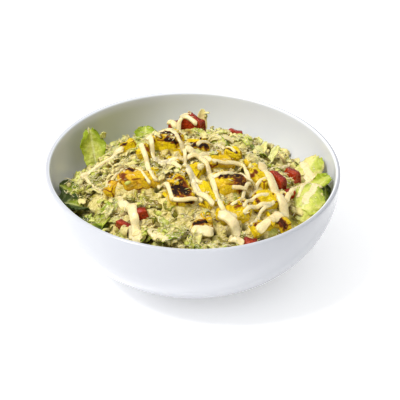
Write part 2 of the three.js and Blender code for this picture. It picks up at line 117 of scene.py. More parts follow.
# Tomato: centre, heading, size, rise and lean.
TOMATO = [
    ((-1, 49), -28, (20, 10, 15), 13, (14, 18)),
    ((-15, 51), 10, (9, 7, 9), 9, (10, 0)),
    ((30, 44), -22, (13, 8, 9), 6, (0, 0)),
    ((60, -10), -52, (17, 9, 10), 4, (0, 0)),
    ((71, 7), -34, (14, 8, 9), 3, (0, 0)),
    ((68, -20), 34, (9, 7, 8), 3, (0, 0)),
    ((-46, -59), -44, (14, 6, 8), 4, (0, 0)),
    ((-35, -53), 8, (11, 6, 7), 4, (0, 0)),
    ((40, -73), 10, (11, 7, 9), 4, (0, 0)),
]
# Large leaves: foot, heading, length and width, rise, curl, cup, then greenness (0 is pale heart leaf, 1 is
# dark outer leaf) and how much cream dressing lies on it.
LARGE_LEAVES = [
    ((-72, 33), 110, (28, 18), 54, -16, 0.3, 0.70, 0.15),
    ((-84, -6), 176, (15, 22), 50, 20, 0.3, 1.10, 0.05),
    ((-75, -25), 205, (22, 24), 34, 20, 0.3, 1.60, 0.0),
    ((-62, -46), 228, (20, 24), 30, 34, -0.2, 1.60, 0.05),
    ((-36, 56), 96, (15, 16), 34, 30, 0.3, 0.80, 0.1),
    ((5, 54), 82, (20, 8), 74, 8, 0.5, 0.00, 0.9),
    ((24, 18), 52, (24, 20), 22, 40, -0.25, 0.35, 0.45),
    ((55, 19), 48, (14, 5.5), 38, -12, 0.5, 0.10, 0.5),
    ((49, 25), 66, (12, 5), 34, -8, 0.5, 0.10, 0.5),
    ((78, 9), 58, (27, 20), 36, 30, -0.3, 0.60, 0.5),
    ((84, -3), 22, (20, 20), 46, 14, 0.25, 0.60, 0.1),
    ((74, -38), 66, (35, 24), 44, 50, -0.35, 0.58, 0.3),
    ((-53, -64), 308, (21, 18), 24, 38, -0.2, 0.30, 0.6),
    ((15, -76), 252, (17, 20), 28, 50, 0.25, 0.80, 0.05),
    ((-7, -62), 230, (24, 18), 26, 50, -0.25, 0.65, 0.3),
    ((96, -14), 92, (22, 13), 42, 10, 0.3, 1.3, 0.0),
    ((78, -24), -14, (21, 22), 20, 26, 0.3, 0.50, 0.1),
]
# Dressing strokes: points of a smooth line seen from above, and its width. The first 14 are solids too.
DRESSING = [
    (((-82, 12), (-70, 18), (-60, 25), (-51, 28)), 4.0),
    (((-34, 6), (-26, 13), (-17, 14), (-11, 5), (-7, -1)), 3.3),
    (((-31, 8), (-28, -2), (-25, -6)), 3.3),
    (((-38, 12), (-36, 2), (-32, -9), (-28, -26), (-24, -30)), 3.6),
    (((-25, -6), (-18, -8), (-8, -6), (4, -4), (13, -16)), 3.2),
    (((-29, -4), (-19, -7), (-9, -16), (-1, -30), (4, -45), (15, -57)), 3.5),
    (((6, -6), (10, -19), (14, -35), (19, -53), (24, -60), (31, -61)), 3.7),
    (((13, -32), (19, -31), (26, -26), (32, -17), (37, -26), (45, -27)), 3.3),
    (((48, 4), (52, -11), (56, -23), (60, -34), (65, -48)), 6.6),
    (((64, -42), (58, -49), (52, -57), (45, -66)), 6.2),
    (((-8, 51), (-11, 47), (-12, 40)), 3.3),
    (((85, 10), (78, 1), (72, -14), (65, -34)), 3.6),
    (((-43, -42), (-39, -58), (-36, -72)), 6.2),
    (((18, -59), (25, -63), (33, -70)), 6.5),
    (((-6, 0), (-4, -24), (7, -37)), 2.6),
    (((13, -16), (22, -13), (35, -9), (40, -27)), 2.9),
    (((27, -40), (39, -36), (46, -24), (52, -19)), 2.6),
    (((26, -53), (32, -49), (38, -32), (44, -26)), 2.4),
    (((35, -54), (41, -42), (53, -36)), 2.7),
    (((35, -58), (42, -50), (55, -43)), 2.9),
    (((40, -62), (46, -52), (57, -41)), 2.4),
    (((-13, -51), (-8, -53), (4, -50)), 2.7),
    (((-4, -26), (3, -40), (7, -52)), 2.9),
    (((-24, -30), (-18, -38), (-13, -52)), 3.0),
    (((-60, -28), (-59, -14), (-50, -2)), 2.2),
    (((-38, -18), (-34, -27), (-29, -34)), 2.4),
    (((-10, 51), (-4, 47), (2, 42)), 3.0),
    (((86, 2), (79, -9), (74, -22)), 3.0),
    (((-79, 7), (-71, -10), (-64, -20)), 2.4),
    (((2, 6), (12, 16), (20, 17), (30, 4)), 2.6),
    (((55, 5), (64, 14), (71, 28)), 2.4),
    (((-11, 52), (-7, 51), (-4, 50)), 4.4),
    (((-20, 54), (-16, 51), (-13, 46)), 4.6),
]
# Broad smears of dressing, in the same way.
SMEARS = [
    (((-52, -33), (-47, -41), (-41, -50)), 6.0),
    (((3, -24), (8, -23)), 6.0),
    (((-6, 2), (3, -2), (14, 5)), 4.0),
    (((13, 35), (21, 27), (29, 25)), 5.5),
    (((26, -69), (31, -73), (36, -74)), 5.8),
    (((78, 27), (83, 17), (87, 8)), 6.0),
    (((78, -28), (83, -19), (89, -6)), 6.0),
    (((-29, -67), (-23, -75), (-16, -82)), 5.8),
    (((-41, -61), (-37, -68), (-34, -77)), 7.0),
    (((0, -70), (8, -72), (15, -69)), 5.5),
]
# Places with little cheese and few torn bits: centre and radius.
CALM = [(84, 14, 18), (88, -6, 15), (80, -32, 17), (-76, 40, 14), (-80, -34, 15), (-88, -10, 9), (6, 58, 9),
        (58, 24, 9), (49, 32, 9), (-60, -58, 8), (-36, 62, 10)]
# Gaps that go down into the heap, painted dark as shade, and places where fresh green shows: centre and
# radius.
GAPS = [
    (23, -60, 3.2), (26, -67, 2.6), (12, -60, 2.4), (-24, -33, 3.0), (-23, -62, 3.2), (-25, -21, 2.4),
    (38, -36, 2.6), (32, -45, 3.0), (-18, -12, 2.4), (-11, -55, 2.6), (-33, -16, 2.2), (69, -15, 3.0),
    (48, -65, 2.8), (8, -67, 2.4), (-50, -33, 2.4), (-41, -40, 2.6), (-66, 8, 2.4), (-70, -36, 3.4),
    (-65, 5, 2.2), (-52, 32, 2.8), (-70, 18, 2.6), (-45, 12, 2.4), (-42, 36, 2.6), (-58, -10, 2.4),
    (-2, -12, 2.4), (30, 18, 2.4), (52, 8, 2.6), (-30, -40, 2.6), (-60, 22, 2.2), (58, 20, 2.8),
    (-61, -21, 2.4), (-31, -31, 2.4), (-19, -40, 2.6), (-50, -59, 2.4), (-4, -66, 2.6), (15, -67, 2.6),
    (36, -61, 2.6), (-22, -49, 2.2), (-13, -67, 2.6), (28, -2, 2.2), (38, 3, 2.2), (-28, -68, 2.4),
]
GREENS = [
    (-60, 8, 6), (-71, -2, 7), (-22, -50, 7), (-23, -57, 7), (15, 29, 8), (-30, -53, 6), (54, -62, 7),
    (37, 31, 7), (-49, 27, 5), (20, 24, 6), (-2, -75, 9), (-64, 2, 5), (-70, -42, 12), (-6, -62, 6),
    (-40, 50, 7), (50, 26, 8), (-55, -50, 7), (62, -58, 6),
]
# Char on the chicken: which piece, from and to in its own half sizes, radius in mm, and depth (1 is black,
# 0.5 is brown).
CHAR = [
    (1, (-0.3, 0.3, 1.0), (0.9, -0.2, 1.0), 3.6, 1.0),
    (1, (0.1, -0.9, 0.95), (0.9, -0.9, 0.75), 1.9, 0.95),
    (1, (-0.9, -0.9, 0.8), (-0.5, -0.9, 0.95), 1.6, 0.6),
    (2, (-0.9, -0.6, 1.0), (0.8, -0.8, 0.9), 2.6, 1.0),
    (2, (-1.0, -1.0, 0.2), (-0.2, -1.0, 0.4), 2.0, 0.6),
    (3, (-0.2, 0.9, 1.1), (1.0, 0.9, 0.5), 1.6, 0.7),
    (3, (0.8, -0.3, 1.1), (1.1, -0.9, 1.0), 1.8, 0.8),
    (4, (-1.0, -0.8, 0.8), (0.0, -1.0, 0.8), 1.2, 0.5),
    (5, (-0.4, 0.1, 1.0), (0.4, 0.4, 1.0), 3.2, 1.0),
    (5, (0.5, 0.6, 1.0), (0.8, -0.9, 0.9), 6.0, 0.74),
    (5, (0.3, -1.0, 0.9), (0.5, -1.0, 0.7), 1.6, 0.9),
    (5, (0.4, -0.8, -0.5), (1.0, 0.2, -0.7), 1.6, 1.0),
    (6, (-0.9, -0.9, 0.8), (-0.4, -0.9, 0.9), 1.8, 0.6),
    (7, (-0.6, 0.5, 1.0), (0.3, -0.6, 1.0), 1.2, 0.9),
    (8, (-0.4, -1.0, 0.8), (-0.5, -0.1, 0.9), 1.6, 0.6),
    (9, (-0.3, 0.9, 1.0), (0.9, 0.3, 1.0), 1.8, 0.9),
    (9, (0.0, 0.2, 1.0), (0.5, 0.2, 1.0), 1.6, 0.5),
    (10, (-1.0, 0.4, 0.8), (-1.0, -0.6, 0.9), 1.6, 1.0),
    (10, (-0.9, -0.9, 0.6), (-0.6, -1.0, 0.2), 2.0, 1.0),
    (11, (-0.6, 0.5, 1.0), (0.4, 0.8, 1.0), 1.6, 0.66),
    (12, (-0.8, -0.8, 0.9), (0.6, -0.6, 0.9), 3.0, 0.75),
    (13, (-0.6, 0.6, 1.0), (-0.2, 0.4, 1.0), 2.2, 1.0),
    (13, (-0.8, -0.2, 1.0), (-0.4, -1.0, 0.7), 1.8, 0.6),
    (13, (-0.6, -1.0, -0.5), (0.7, -1.0, -0.6), 1.8, 0.66),
    (14, (-0.3, 0.6, 1.0), (0.6, 0.6, 1.0), 1.6, 0.5),
    (15, (-0.8, 0.4, 1.0), (0.9, 0.2, 1.0), 5.5, 0.55),
    (15, (-0.6, -0.3, 1.0), (-0.2, 0.5, 1.0), 2.4, 1.0),
    (15, (-0.3, -0.6, 1.0), (0.4, -0.5, 1.0), 3.0, 1.0),
    (15, (0.0, -0.1, 0.9), (0.5, 0.5, 0.9), 4.4, 1.0),
    (15, (0.6, 0.6, 0.9), (0.5, 1.0, 0.2), 3.0, 0.66),
    (15, (0.9, -0.4, 0.8), (0.9, 0.7, 0.0), 2.0, 1.0),
    (16, (-0.8, 0.4, 1.0), (0.3, 0.2, 1.0), 2.2, 1.0),
    (17, (-0.9, -0.5, 1.0), (-0.3, -0.8, 1.0), 1.6, 0.8),
    (18, (0.2, 0.2, 1.0), (0.7, -0.6, 1.0), 1.6, 0.5),
]

# ---- Small tools ---------------------------------------------------------------------------------------


def chance(k, s):
    """A repeatable number from 0 to 1 for piece k, or an array of them, and purpose s."""
    wave = np.sin(np.asarray(k) * 12.9898 + s * 78.233) * 43758.5453
    return wave - np.floor(wave)


def between(low, high, share):
    return low + (high - low) * share


def drawer(k):
    """Makes repeatable draws for piece k, or an array of them. A power above 1 makes more of them low."""
    def draw(purpose, low, high, power=1):
        return between(low, high, chance(k, purpose) ** power)
    return draw


def smooth(low, high, value):
    t = np.clip((value - low) / (high - low), 0, 1)
    return t * t * (3 - 2 * t)


def srgb(*values):
    """Linear colour of the given 0 to 255 screen colour."""
    v = np.array(values, float) / 255
    return np.where(v <= 0.04045, v / 12.92, ((v + 0.055) / 1.055) ** 2.4)


# The pale meat is partly a painted highlight, and the olive meat is painted shade in hollows.
YELLOW, GOLD, PALE_FIBRE_AND_HIGHLIGHT = srgb(244, 216, 6), srgb(232, 174, 40), srgb(250, 232, 150)
OLIVE_MEAT_SHADE, BROWN, BLACK = srgb(172, 134, 4), srgb(132, 60, 8), srgb(38, 15, 4)
CHEESE_LIGHT, CHEESE_DEEP, CHEESE_GREEN = srgb(246, 238, 204), srgb(232, 214, 144), srgb(198, 202, 96)
TOASTED = srgb(226, 186, 96)
SAUCE, SAUCE_DEEP = srgb(242, 222, 170), srgb(228, 200, 118)


def mix(a, b, share):
    """Colours a and b mixed, for a share per point."""
    share = np.asarray(share, float)[..., None]
    return np.asarray(a) * (1 - share) + np.asarray(b) * share


def noise(points, size, seed=0):
    """Smooth value noise from -1 to 1 over points (n, 3), with lumps of about the given size."""
    q = np.asarray(points, float) / size + 17.3 * (seed + 1)
    cell = np.floor(q).astype(np.int64)
    part = q - cell
    part = part * part * (3 - 2 * part)
    total = np.zeros(len(q))
    for corner in range(8):
        offset = np.array([corner & 1, corner >> 1 & 1, corner >> 2 & 1])
        i, j, k = (cell + offset).T
        n = (i * 374761393 + j * 668265263 + k * 1440662683 + seed * 1274126177) & 0xFFFFFFFF
        n = ((n ^ (n >> 13)) * 1274126177) & 0xFFFFFFFF
        value = ((n ^ (n >> 16)) & 0xFFFFFF) / 0xFFFFFF
        total += value * np.prod(np.where(offset, part, 1 - part), axis=1)
    return 2 * total - 1


def lumps(points, size, seed=0, octaves=3):
    """Noise with finer lumps on top, from about -1 to 1."""
    share = [0.5**k for k in range(octaves)]
    return sum(s * noise(points, size * s, seed + k) for k, s in enumerate(share)) / sum(share)


def wall_radius(z, rim, depth):
    share = np.clip((BOWL_HEIGHT - np.asarray(z, float)) / depth, 0, 1)
    return rim * (1 - share**FULLNESS) ** (1 / ROUNDNESS)


def outer_radius(z):
    return wall_radius(z, RIM_RADIUS, CURVE_DEPTH)


def inner_radius(z):
    return wall_radius(z, RIM_RADIUS - WALL, INNER_CURVE_DEPTH)


def dome_height(x, y):
    """The bare heap's surface."""
    radius = np.maximum(np.hypot(x, y), 1e-6)
    level = WALL_LEVEL - WALL_LEVEL_FRONT * y / radius + WALL_LEVEL_RIGHT * x / radius
    return level + (DOME_TOP - level) * (1 - (radius / DOME_RADIUS) ** 2)


def dome_normal(x, y):
    slope_x = (dome_height(x + 1, y) - dome_height(x - 1, y)) / 2
    slope_y = (dome_height(x, y + 1) - dome_height(x, y - 1)) / 2
    return Vector((-slope_x, -slope_y, 1)).normalized()


def slope_along(x, y, heading):
    """The angle of the bare heap's surface along a heading, in degrees."""
    n = dome_normal(x, y)
    angle = math.radians(heading)
    return -math.degrees(math.atan((n.x * math.cos(angle) + n.y * math.sin(angle)) / n.z))


def spiral(k, count, reach, start):
    """Place k, or an array of them, of `count` places on a sunflower's spiral."""
    radius, angle = reach * np.sqrt((k + 0.5) / count), k * GOLDEN_ANGLE + start
    return radius * np.cos(angle), radius * np.sin(angle)


def crossed(first, second):
    """Every pair of the two lines' values, as two flat arrays."""
    return [grid.ravel() for grid in np.meshgrid(first, second, indexing="ij")]


def turned(z, y, x):
    """A turn by angles in degrees about X, then Y, then Z."""
    about_z, about_y, about_x = (Matrix.Rotation(math.radians(angle), 3, axis)
                                 for angle, axis in zip((z, y, x), "ZYX"))
    return about_z @ about_y @ about_x


def seated(points, seat):
    """Points carried along by a 4 by 4 matrix."""
    return (np.c_[points, np.ones(len(points))] @ np.array(seat).T)[:, :3]


def swollen(points, amount):
    """Points moved outward from their own origin by an amount each."""
    return points + points / np.linalg.norm(points, axis=1, keepdims=True) * amount[:, None]


def tube(rings, sides):
    """Faces that join rings of points, one after another."""
    cell = np.arange(rings * sides).reshape(rings, sides)
    a, b = cell[:-1], cell[1:]
    return np.stack([a, np.roll(a, -1, 1), np.roll(b, -1, 1), b], -1).reshape(-1, 4)


def slab(rows, columns, top, under):
    """Faces of a thin closed piece: a grid of points, a like grid under it, and a wall round their edge.

    top and under give the order in which each grid's faces take their four corners.
    """
    cell = np.arange(rows * columns).reshape(rows, columns)
    corners = np.stack([cell[:-1, :-1], cell[1:, :-1], cell[1:, 1:], cell[:-1, 1:]], -1).reshape(-1, 4)
    loop = np.r_[cell[:, 0], cell[-1, 1:], cell[-2::-1, -1], cell[0, -2:0:-1]]
    after = np.roll(loop, -1)
    wall = np.stack([loop, loop + cell.size, after + cell.size, after], 1)
    return np.concatenate([corners[:, top], corners[:, under] + cell.size, wall])


def shifted(grid, axis, cells):
    """A grid of heights moved along an axis by some cells, with its edge repeated."""
    return np.take(grid, np.clip(np.arange(grid.shape[axis]) + cells, 0, grid.shape[axis] - 1), axis)


def under_top(points):
    """Presses the highest tips down a little, so that nothing stands above the solids."""
    knee = CAD_BOX[1][2] / MM - PRESSED
    over = np.maximum(points[:, 2] - knee, 0)
    pressed = points.copy()
    pressed[:, 2] += PRESSED * (1 - np.exp(-over / PRESSED)) - over
    return pressed


class Pile:
    """Meshes of one kind, gathered and then made into one object. All faces have the same corner count."""

    def __init__(self):
        self.points, self.faces, self.colours, self.count = [], [], [], 0

    def add(self, points, faces, colours):
        self.points.append(np.asarray(points, float))
        self.faces.append(np.asarray(faces, np.int64) + self.count)
        self.colours.append(np.broadcast_to(colours, (len(points), 3)))
        self.count += len(points)

    def arrays(self):
        return np.concatenate(self.points), np.concatenate(self.faces)

    def make(self, name, material, stands_for):
        points, faces = self.arrays()
        mesh = bpy.data.meshes.new(name)
        mesh.from_pydata((under_top(points) * MM).tolist(), [], faces.tolist(), shade_flat=False)
        rgba = np.ones((len(points), 4), np.float32)
        rgba[:, :3] = np.concatenate(self.colours)
        mesh.color_attributes.new("tint", "FLOAT_COLOR", "POINT").data.foreach_set("color", rgba.ravel())
        mesh.materials.append(material)
        piece = bpy.data.objects.new(name, mesh)
        bpy.context.scene.collection.objects.link(piece)
        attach(piece, "root")
        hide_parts(*stands_for)


def bvh_of(*piles):
    """A tree of the piles' surfaces, in millimetres, for finding what a thing lies on."""
    points, faces, start = [], [], 0
    for pile in piles:
        p, f = pile.arrays()
        points.append(p)
        faces.extend((f + start).tolist())
        start += len(p)
    return BVHTree.FromPolygons(np.concatenate(points).tolist(), faces)


def land(tree, x, y):
    """Where things let go over the points (x, y) come to lie: places, normals and which ones hit anything."""
    places, normals, hit = np.zeros((len(x), 3)), np.zeros((len(x), 3)), np.zeros(len(x), bool)
    for k, (a, b) in enumerate(zip(x, y)):
        place, normal, _, _ = tree.ray_cast(Vector((a, b, DROP_HEIGHT)), -UP)
        if place:
            places[k], normals[k], hit[k] = place, normal, True
    return places, normals, hit


# ---- Materials -----------------------------------------------------------------------------------------


class Shading:
    """A node tree, and short ways to add nodes to it."""

    def __init__(self, tree):
        self.tree = tree
        self.coordinates = tree.nodes.new("ShaderNodeTexCoord").outputs

    def fill(self, node, inputs):
        """Sets a node's inputs, each to a value or to the output of another node."""
        for name, value in inputs.items():
            if isinstance(value, bpy.types.NodeSocket):
                self.tree.links.new(value, node.inputs[name])
            else:
                node.inputs[name].default_value = value

    def add(self, kind, inputs, output, **settings):
        """A new node's output, by name."""
        node = self.tree.nodes.new("ShaderNode" + kind)
        for name, value in settings.items():
            setattr(node, name, value)
        self.fill(node, inputs)
        return node.outputs[output]

    def noise(self, scale, detail):
        vector = self.coordinates["Object"]
        return self.add("TexNoise", {"Scale": scale, "Detail": detail, "Vector": vector}, "Fac")

    def ramp(self, value, low, high):
        """value mapped from one (position, grey or colour) to another."""
        node = self.tree.nodes.new("ShaderNodeValToRGB")
        for element, (position, colour) in zip(node.color_ramp.elements, (low, high)):
            element.position = position
            element.color = (*np.broadcast_to(colour, 3), 1)
        self.fill(node, {"Fac": value})
        return node.outputs["Color"]

    def tinted(self, *shades):
        """The mesh's own colours, multiplied by each of the shades."""
        colour = self.add("VertexColor", {}, "Color", layer_name="tint")
        for shade in shades:
            colour = self.add("Mix", {"Factor": 1.0, "A": colour, "B": shade}, "Result",
                              data_type="RGBA", blend_type="MULTIPLY")
        return colour

    def relief(self, layers):
        """A normal for (noise scale, detail, distance in mm, strength) layers of relief, stacked."""
        normal = None
        for scale, detail, distance, strength in layers:
            inputs = {"Distance": distance * MM, "Strength": strength, "Height": self.noise(scale, detail)}
            if normal:
                inputs["Normal"] = normal
            normal = self.add("Bump", inputs, "Normal")
        return normal


def new_material(name, slot_name):
    """A new material, the tools for its node tree and its Principled node."""
    material = bpy.data.materials.new(name)
    material.use_nodes = True
    material["slot"] = slot_name
    tree = material.node_tree
    return material, Shading(tree), tree.nodes["Principled BSDF"]


def food_material(name, slot_name, speckle, roughness, relief, gloss=0.5, softness=0.0, radius=(1, 1, 1)):
    """Tinted by the mesh's own colours, with speckle and relief as (size in mm, amount) of noise."""
    material, shading, shader = new_material(name, slot_name)
    size, amount = speckle
    grain = shading.noise(1 / (size * MM), 3)
    speckled = [1 - amount * share for share in (1, 1.15, 1.7)]
    shading.fill(shader, {
        "Base Color": shading.tinted(shading.ramp(grain, (0.32, speckled), (0.62, 1.0))),
        "Roughness": shading.ramp(grain, (0.3, roughness[0]), (0.7, roughness[1])),
        "Normal": shading.relief([(1 / (step * MM), 2, step, strength) for step, strength in relief]),
        "Specular IOR Level": gloss,
        "Subsurface Weight": softness,
        "Subsurface Radius": radius,
        "Subsurface Scale": MM,
    })
    return material


def porcelain_material():
    """Glossy glaze in the mesh's own tints, faintly uneven, over a bare foot ring."""
    material, shading, shader = new_material("white_glaze", "porcelain")
    height = shading.add("SeparateXYZ", {"Vector": shading.coordinates["Object"]}, "Z")
    uneven = shading.ramp(shading.noise(22, 3), (0.3, (0.96, 0.96, 0.975)), (0.7, 1.0))
    foot = shading.ramp(height, (0.0002, (0.80, 0.78, 0.74)), (0.0006, 1.0))
    shading.fill(shader, {
        "Base Color": shading.tinted(uneven, foot),
        "Roughness": shading.ramp(shading.noise(60, 4), (0.3, 0.16), (0.7, 0.24)),
        "Normal": shading.relief([(28, 1, 0.6, 0.12)]),
        "Coat Weight": 0.2,
        "Coat Roughness": 0.08,
    })
    return material


# ---- Bowl ----------------------------------------------------------------------------------------------


# One glaze, painted twice: darker on the outside as painted shade, lighter on the inside as painted light.
OUTER_GLAZE_SHADED, INNER_GLAZE_LIT, GREEN_REFLECTION_AND_SHADE = (0.56, 0.575, 0.62), (0.84, 0.87, 0.94), (0.50, 0.53, 0.32)
# The green is a painted reflection of the leaves, with painted shade, on the inner wall: its heading and
# spread.
REFLECTION_HEADING, REFLECTION_SPREAD = 2.35, 0.5


def bowl():
    """The bowl's profile, turned smoothly.

    Its tints are painted light: painted shade darkens the outside, most of all to the right and low down,
    and a painted green reflection, with shade, lies inside at the back left.
    """
    lip = WALL / 2
    lip_level = BOWL_HEIGHT - lip
    foot = float(outer_radius(0))
    up = np.linspace(0, 1, 40) ** 1.35
    outside = [(float(outer_radius(z)), z) for z in lip_level * up]
    rounded = [(RIM_RADIUS - lip + lip * math.cos(a), lip_level + lip * math.sin(a))
               for a in np.linspace(0, math.pi, 14)[1:-1]]
    inside = [(float(inner_radius(z)), z) for z in BOWL_FLOOR + (lip_level - BOWL_FLOOR) * up][::-1]
    floor_radii = np.linspace(float(inner_radius(BOWL_FLOOR)), 0.01, 8)[1:]
    profile = [
        (0.01, FOOT_RECESS), (foot - FOOT_WIDTH - 3, FOOT_RECESS), (foot - FOOT_WIDTH - 1, FOOT_RECESS * 0.8),
        (foot - FOOT_WIDTH, 0), (foot - 2.5, 0), *outside, *rounded, *inside,
        *[(r, BOWL_FLOOR) for r in floor_radii],
    ]
    sides = 208
    angle = np.arange(sides) / sides * TAU
    r, z = np.array(profile).T
    x, y = np.outer(r, np.cos(angle)).ravel(), np.outer(r, np.sin(angle)).ravel()
    z = np.repeat(z, sides)
    rightward = np.tile(np.cos(angle), len(profile))
    # Painted shade outside: darker to the right, away from the key light, and darker low down except on the
    # left.
    shade = 1 - 0.2 * smooth(0.1, 0.9, rightward)
    shade *= 1 - 0.3 * smooth(20, 10, z) * smooth(-0.9, 0.0, rightward)
    inward = np.repeat(np.arange(len(profile)) > 5 + len(outside) + len(rounded) // 2, sides).astype(float)
    glaze = mix(np.outer(shade, OUTER_GLAZE_SHADED), INNER_GLAZE_LIT, inward)
    # Painted reflection of the leaves, green and with painted shade, on the inner wall at the back left.
    back_left = np.exp(-(((np.arctan2(y, x) - REFLECTION_HEADING) / REFLECTION_SPREAD) ** 2))
    painted_reflection = inward * back_left * smooth(40, 52, z) * smooth(77, 68, z)
    pile = Pile()
    pile.add(np.stack([x, y, z], 1), tube(len(profile), sides), mix(glaze, GREEN_REFLECTION_AND_SHADE, 0.7 * painted_reflection))
    return pile


# ---- Lettuce -------------------------------------------------------------------------------------------

HEART, PALE, FRESH, DARK = srgb(234, 232, 160), srgb(208, 212, 98), srgb(156, 176, 24), srgb(52, 70, 0)
FILM, RIB = srgb(243, 227, 154), srgb(232, 234, 170)
# Olive and a browner colour: painted shade where leaves lie deep in the heap; olive is also some flecks' own
# colour.
OLIVE, DEEP_SHADE = srgb(122, 112, 8), srgb(116, 78, 4)


def leaf_colours(u, v, points, green, cream):
    """Pale at the foot and along the midrib, green at the margin, with dressing smeared over it."""
    side = np.abs(2 * v - 1)
    edge = np.clip(0.55 * side + 0.6 * u - 0.25, 0, 1)
    amount = np.clip(green * (0.35 + 0.9 * edge) + 0.12 * noise(points, 3.0, 5), 0, 1)
    colour = mix(HEART, PALE, smooth(0.0, 0.3, amount))
    colour = mix(colour, FRESH, smooth(0.25, 0.65, amount))
    colour = mix(colour, DARK, smooth(0.6, 1.0, amount))
    veins = smooth(0.82, 1.0, np.abs(np.sin(11 * u + 4.5 * side))) * (1 - side) * 0.35
    rib = np.maximum(smooth(0.16, 0.03, side) * (1 - 0.6 * u), veins)
    colour = mix(colour, RIB, rib * 0.8)
    dressed = smooth(0.3, -0.25, noise(points, 6.5, 9) + 0.3 * noise(points, 2.2, 3) - (2.2 * cream - 1.1))
    return mix(colour, FILM, dressed * min(0.92, 0.25 + cream))


def painted_deep_shade(colour, points):
    """Painted shade: browner and darker where a leaf lies deep in the heap."""
    above = points[:, 2] - dome_height(points[:, 0], points[:, 1]) + 0.9 * noise(points, 2.6, 34)
    shade_colour = mix(DEEP_SHADE, OLIVE, smooth(-0.3, 0.4, noise(points, 9, 35)))
    return mix(colour, shade_colour, 0.85 * smooth(1.3, -1.3, above))


def sheet(surface, thickness, columns, rows):
    """A closed thin leaf in its own frame: points, faces, and u, v of every point."""
    u, v = crossed(np.linspace(0, 1, columns + 1), np.linspace(0, 1, rows + 1))
    step = 0.01
    along = surface(u + step, v) - surface(u - step, v)
    crosswise = surface(u, v + step) - surface(u, v - step)
    half = np.cross(along, crosswise)
    half *= thickness / 2 / np.maximum(np.linalg.norm(half, axis=1, keepdims=True), 1e-9)
    rim = np.minimum.reduce([u, 1 - u, v, 1 - v])
    half *= (0.45 + 0.55 * smooth(0, 0.12, rim))[:, None]
    middle = surface(u, v)
    points = np.concatenate([middle + half, middle - half])
    faces = slab(columns + 1, rows + 1, top=[0, 1, 2, 3], under=[0, 3, 2, 1])
    return points, faces, np.tile(u, 2), np.tile(v, 2)


def leaf_surface(size, curl, cup, phase, frill=0.0):
    """A leaf along +X from its foot, curled over along its length and cupped. frill crimps its edge."""
    length, width = size
    bend = math.radians(curl) or 1e-3

    def surface(u, v):
        side = 2 * v - 1
        half = width / 2 * (0.5 + 0.5 * np.sin(np.pi * (0.12 + 0.76 * u)))
        half = half * (1 - TIP * np.clip((u - 0.6) / 0.4, 0, 1) ** 2)
        ruffle = 0.07 * width * side**2 * np.sin(9 * u + 2.2 * side + phase)
        edge = np.clip(side**2 + 0.6 * np.clip(u - 0.6, 0, 1), 0, 1.3)
        crimp = np.sin(31 * u + 3 * side + 2 * phase + 5 * np.sin(4 * u + phase))
        ruffle = ruffle + frill * edge * crimp
        ruffle = ruffle + 0.3 * frill * np.sin(17 * u + phase) * np.sin(13 * side + 2 * phase)
        ruffle = ruffle - 0.05 * width * np.exp(-((side / 0.16) ** 2)) * (1 - u)
        wave = 1 + 0.06 * np.sin(14 * u + phase) + 0.03 * np.sin(37 * u + 3 * phase)
        x = length / bend * np.sin(bend * u) * (1 + 0.03 * np.sin(9 * side + phase))
        fall = length / bend * (1 - np.cos(bend * u))
        return np.stack([x, side * half * wave, -fall + cup * half * side**2 + ruffle], -1)

    return surface


def plant(points, x, y, heading, rise, roll, lift):
    """Sets a leaf on the heap by its foot."""
    turn = turned(heading, -rise, roll)
    return points @ np.array(turn).T + (x, y, float(dome_height(x, y)) + lift)


def leaf(surface, thickness, cells, pose, green, cream):
    """A small leaf on the heap, posed as plant() takes it: points, faces and colours."""
    points, faces, u, v = sheet(surface, thickness, *cells)
    points = plant(points, *pose)
    # The colours get painted shade: darker and browner where the leaf lies deep in the heap.
    return points, faces, painted_deep_shade(leaf_colours(u, v, points, green, cream), points)


def keep_in_bowl(points, gap=0.4):
    """Presses what would cross the bowl's wall in against it."""
    radius = np.maximum(np.hypot(points[:, 0], points[:, 1]), 1e-6)
    limit = inner_radius(np.minimum(points[:, 2], BOWL_HEIGHT - 1)) - gap
    share = np.minimum(1, limit / radius)
    return np.stack([points[:, 0] * share, points[:, 1] * share, points[:, 2]], 1)


def near_topping(points, margin=1.0):
    """Which points are in a topping, or nearer to it than the margin."""
    hit = np.zeros(len(points), bool)
    for seat, size in TOPPING_SEATS:
        hit |= (np.abs(seated(points, seat) / (np.array(size) / 2 + margin)) ** 3).sum(1) < 1
    return hit


def near_any(places, x, y):
    """How near points are to the nearest of the places: 1 at its centre, 0 at its radius and outside."""
    return np.max([np.clip(1 - np.hypot(x - cx, y - cy) / reach, 0, 1) for cx, cy, reach in places], axis=0)


def freshness(x, y):
    """How much fresh green shows at points, from 0 to 1."""
    return smooth(0, 0.5, near_any(GREENS, x, y))


def near_stroke(x, y, margin):
    """Which places lie under a stroke of dressing, or nearer to it than the margin."""
    hit = np.zeros(len(x), bool)
    for corners, width in DRESSING:
        for cx, cy in along_line(corners, 1.5):
            hit |= np.hypot(x - cx, y - cy) < width / 2 + margin
    return hit


def outwardness(x, y):
    """From 0 in the middle of the heap to 1 near the wall."""
    return min(1, math.hypot(x, y) / 90)


def scatter(count, start, spacing, draw_leaf, middles):
    """The small pieces that the solids hold too, on a spiral: moved until they fit, or left out."""
    made = []
    for k in range(count):
        home_x, home_y = spiral(k, count, SCATTER_REACH, start)
        for attempt in range(SCATTER_TRIES):
            draw = drawer(k + 0.37 * attempt)
            x = home_x + attempt * draw(9, -1.5, 1.5)
            y = home_y + attempt * draw(10, -1.5, 1.5)
            coarse, fine = draw_leaf(x, y, draw)
            middle = (coarse.min(0) + coarse.max(0)) / 2
            limit = inner_radius(np.minimum(coarse[:, 2], BOWL_HEIGHT)) - HEAP_GAP
            clear = (np.hypot(coarse[:, 0], coarse[:, 1]) <= limit).all() and not near_topping(coarse).any()
            if clear and all(np.linalg.norm(m - middle) > spacing for m in middles):
                middles.append(middle)
                made.append(fine(k))
                break
    return made


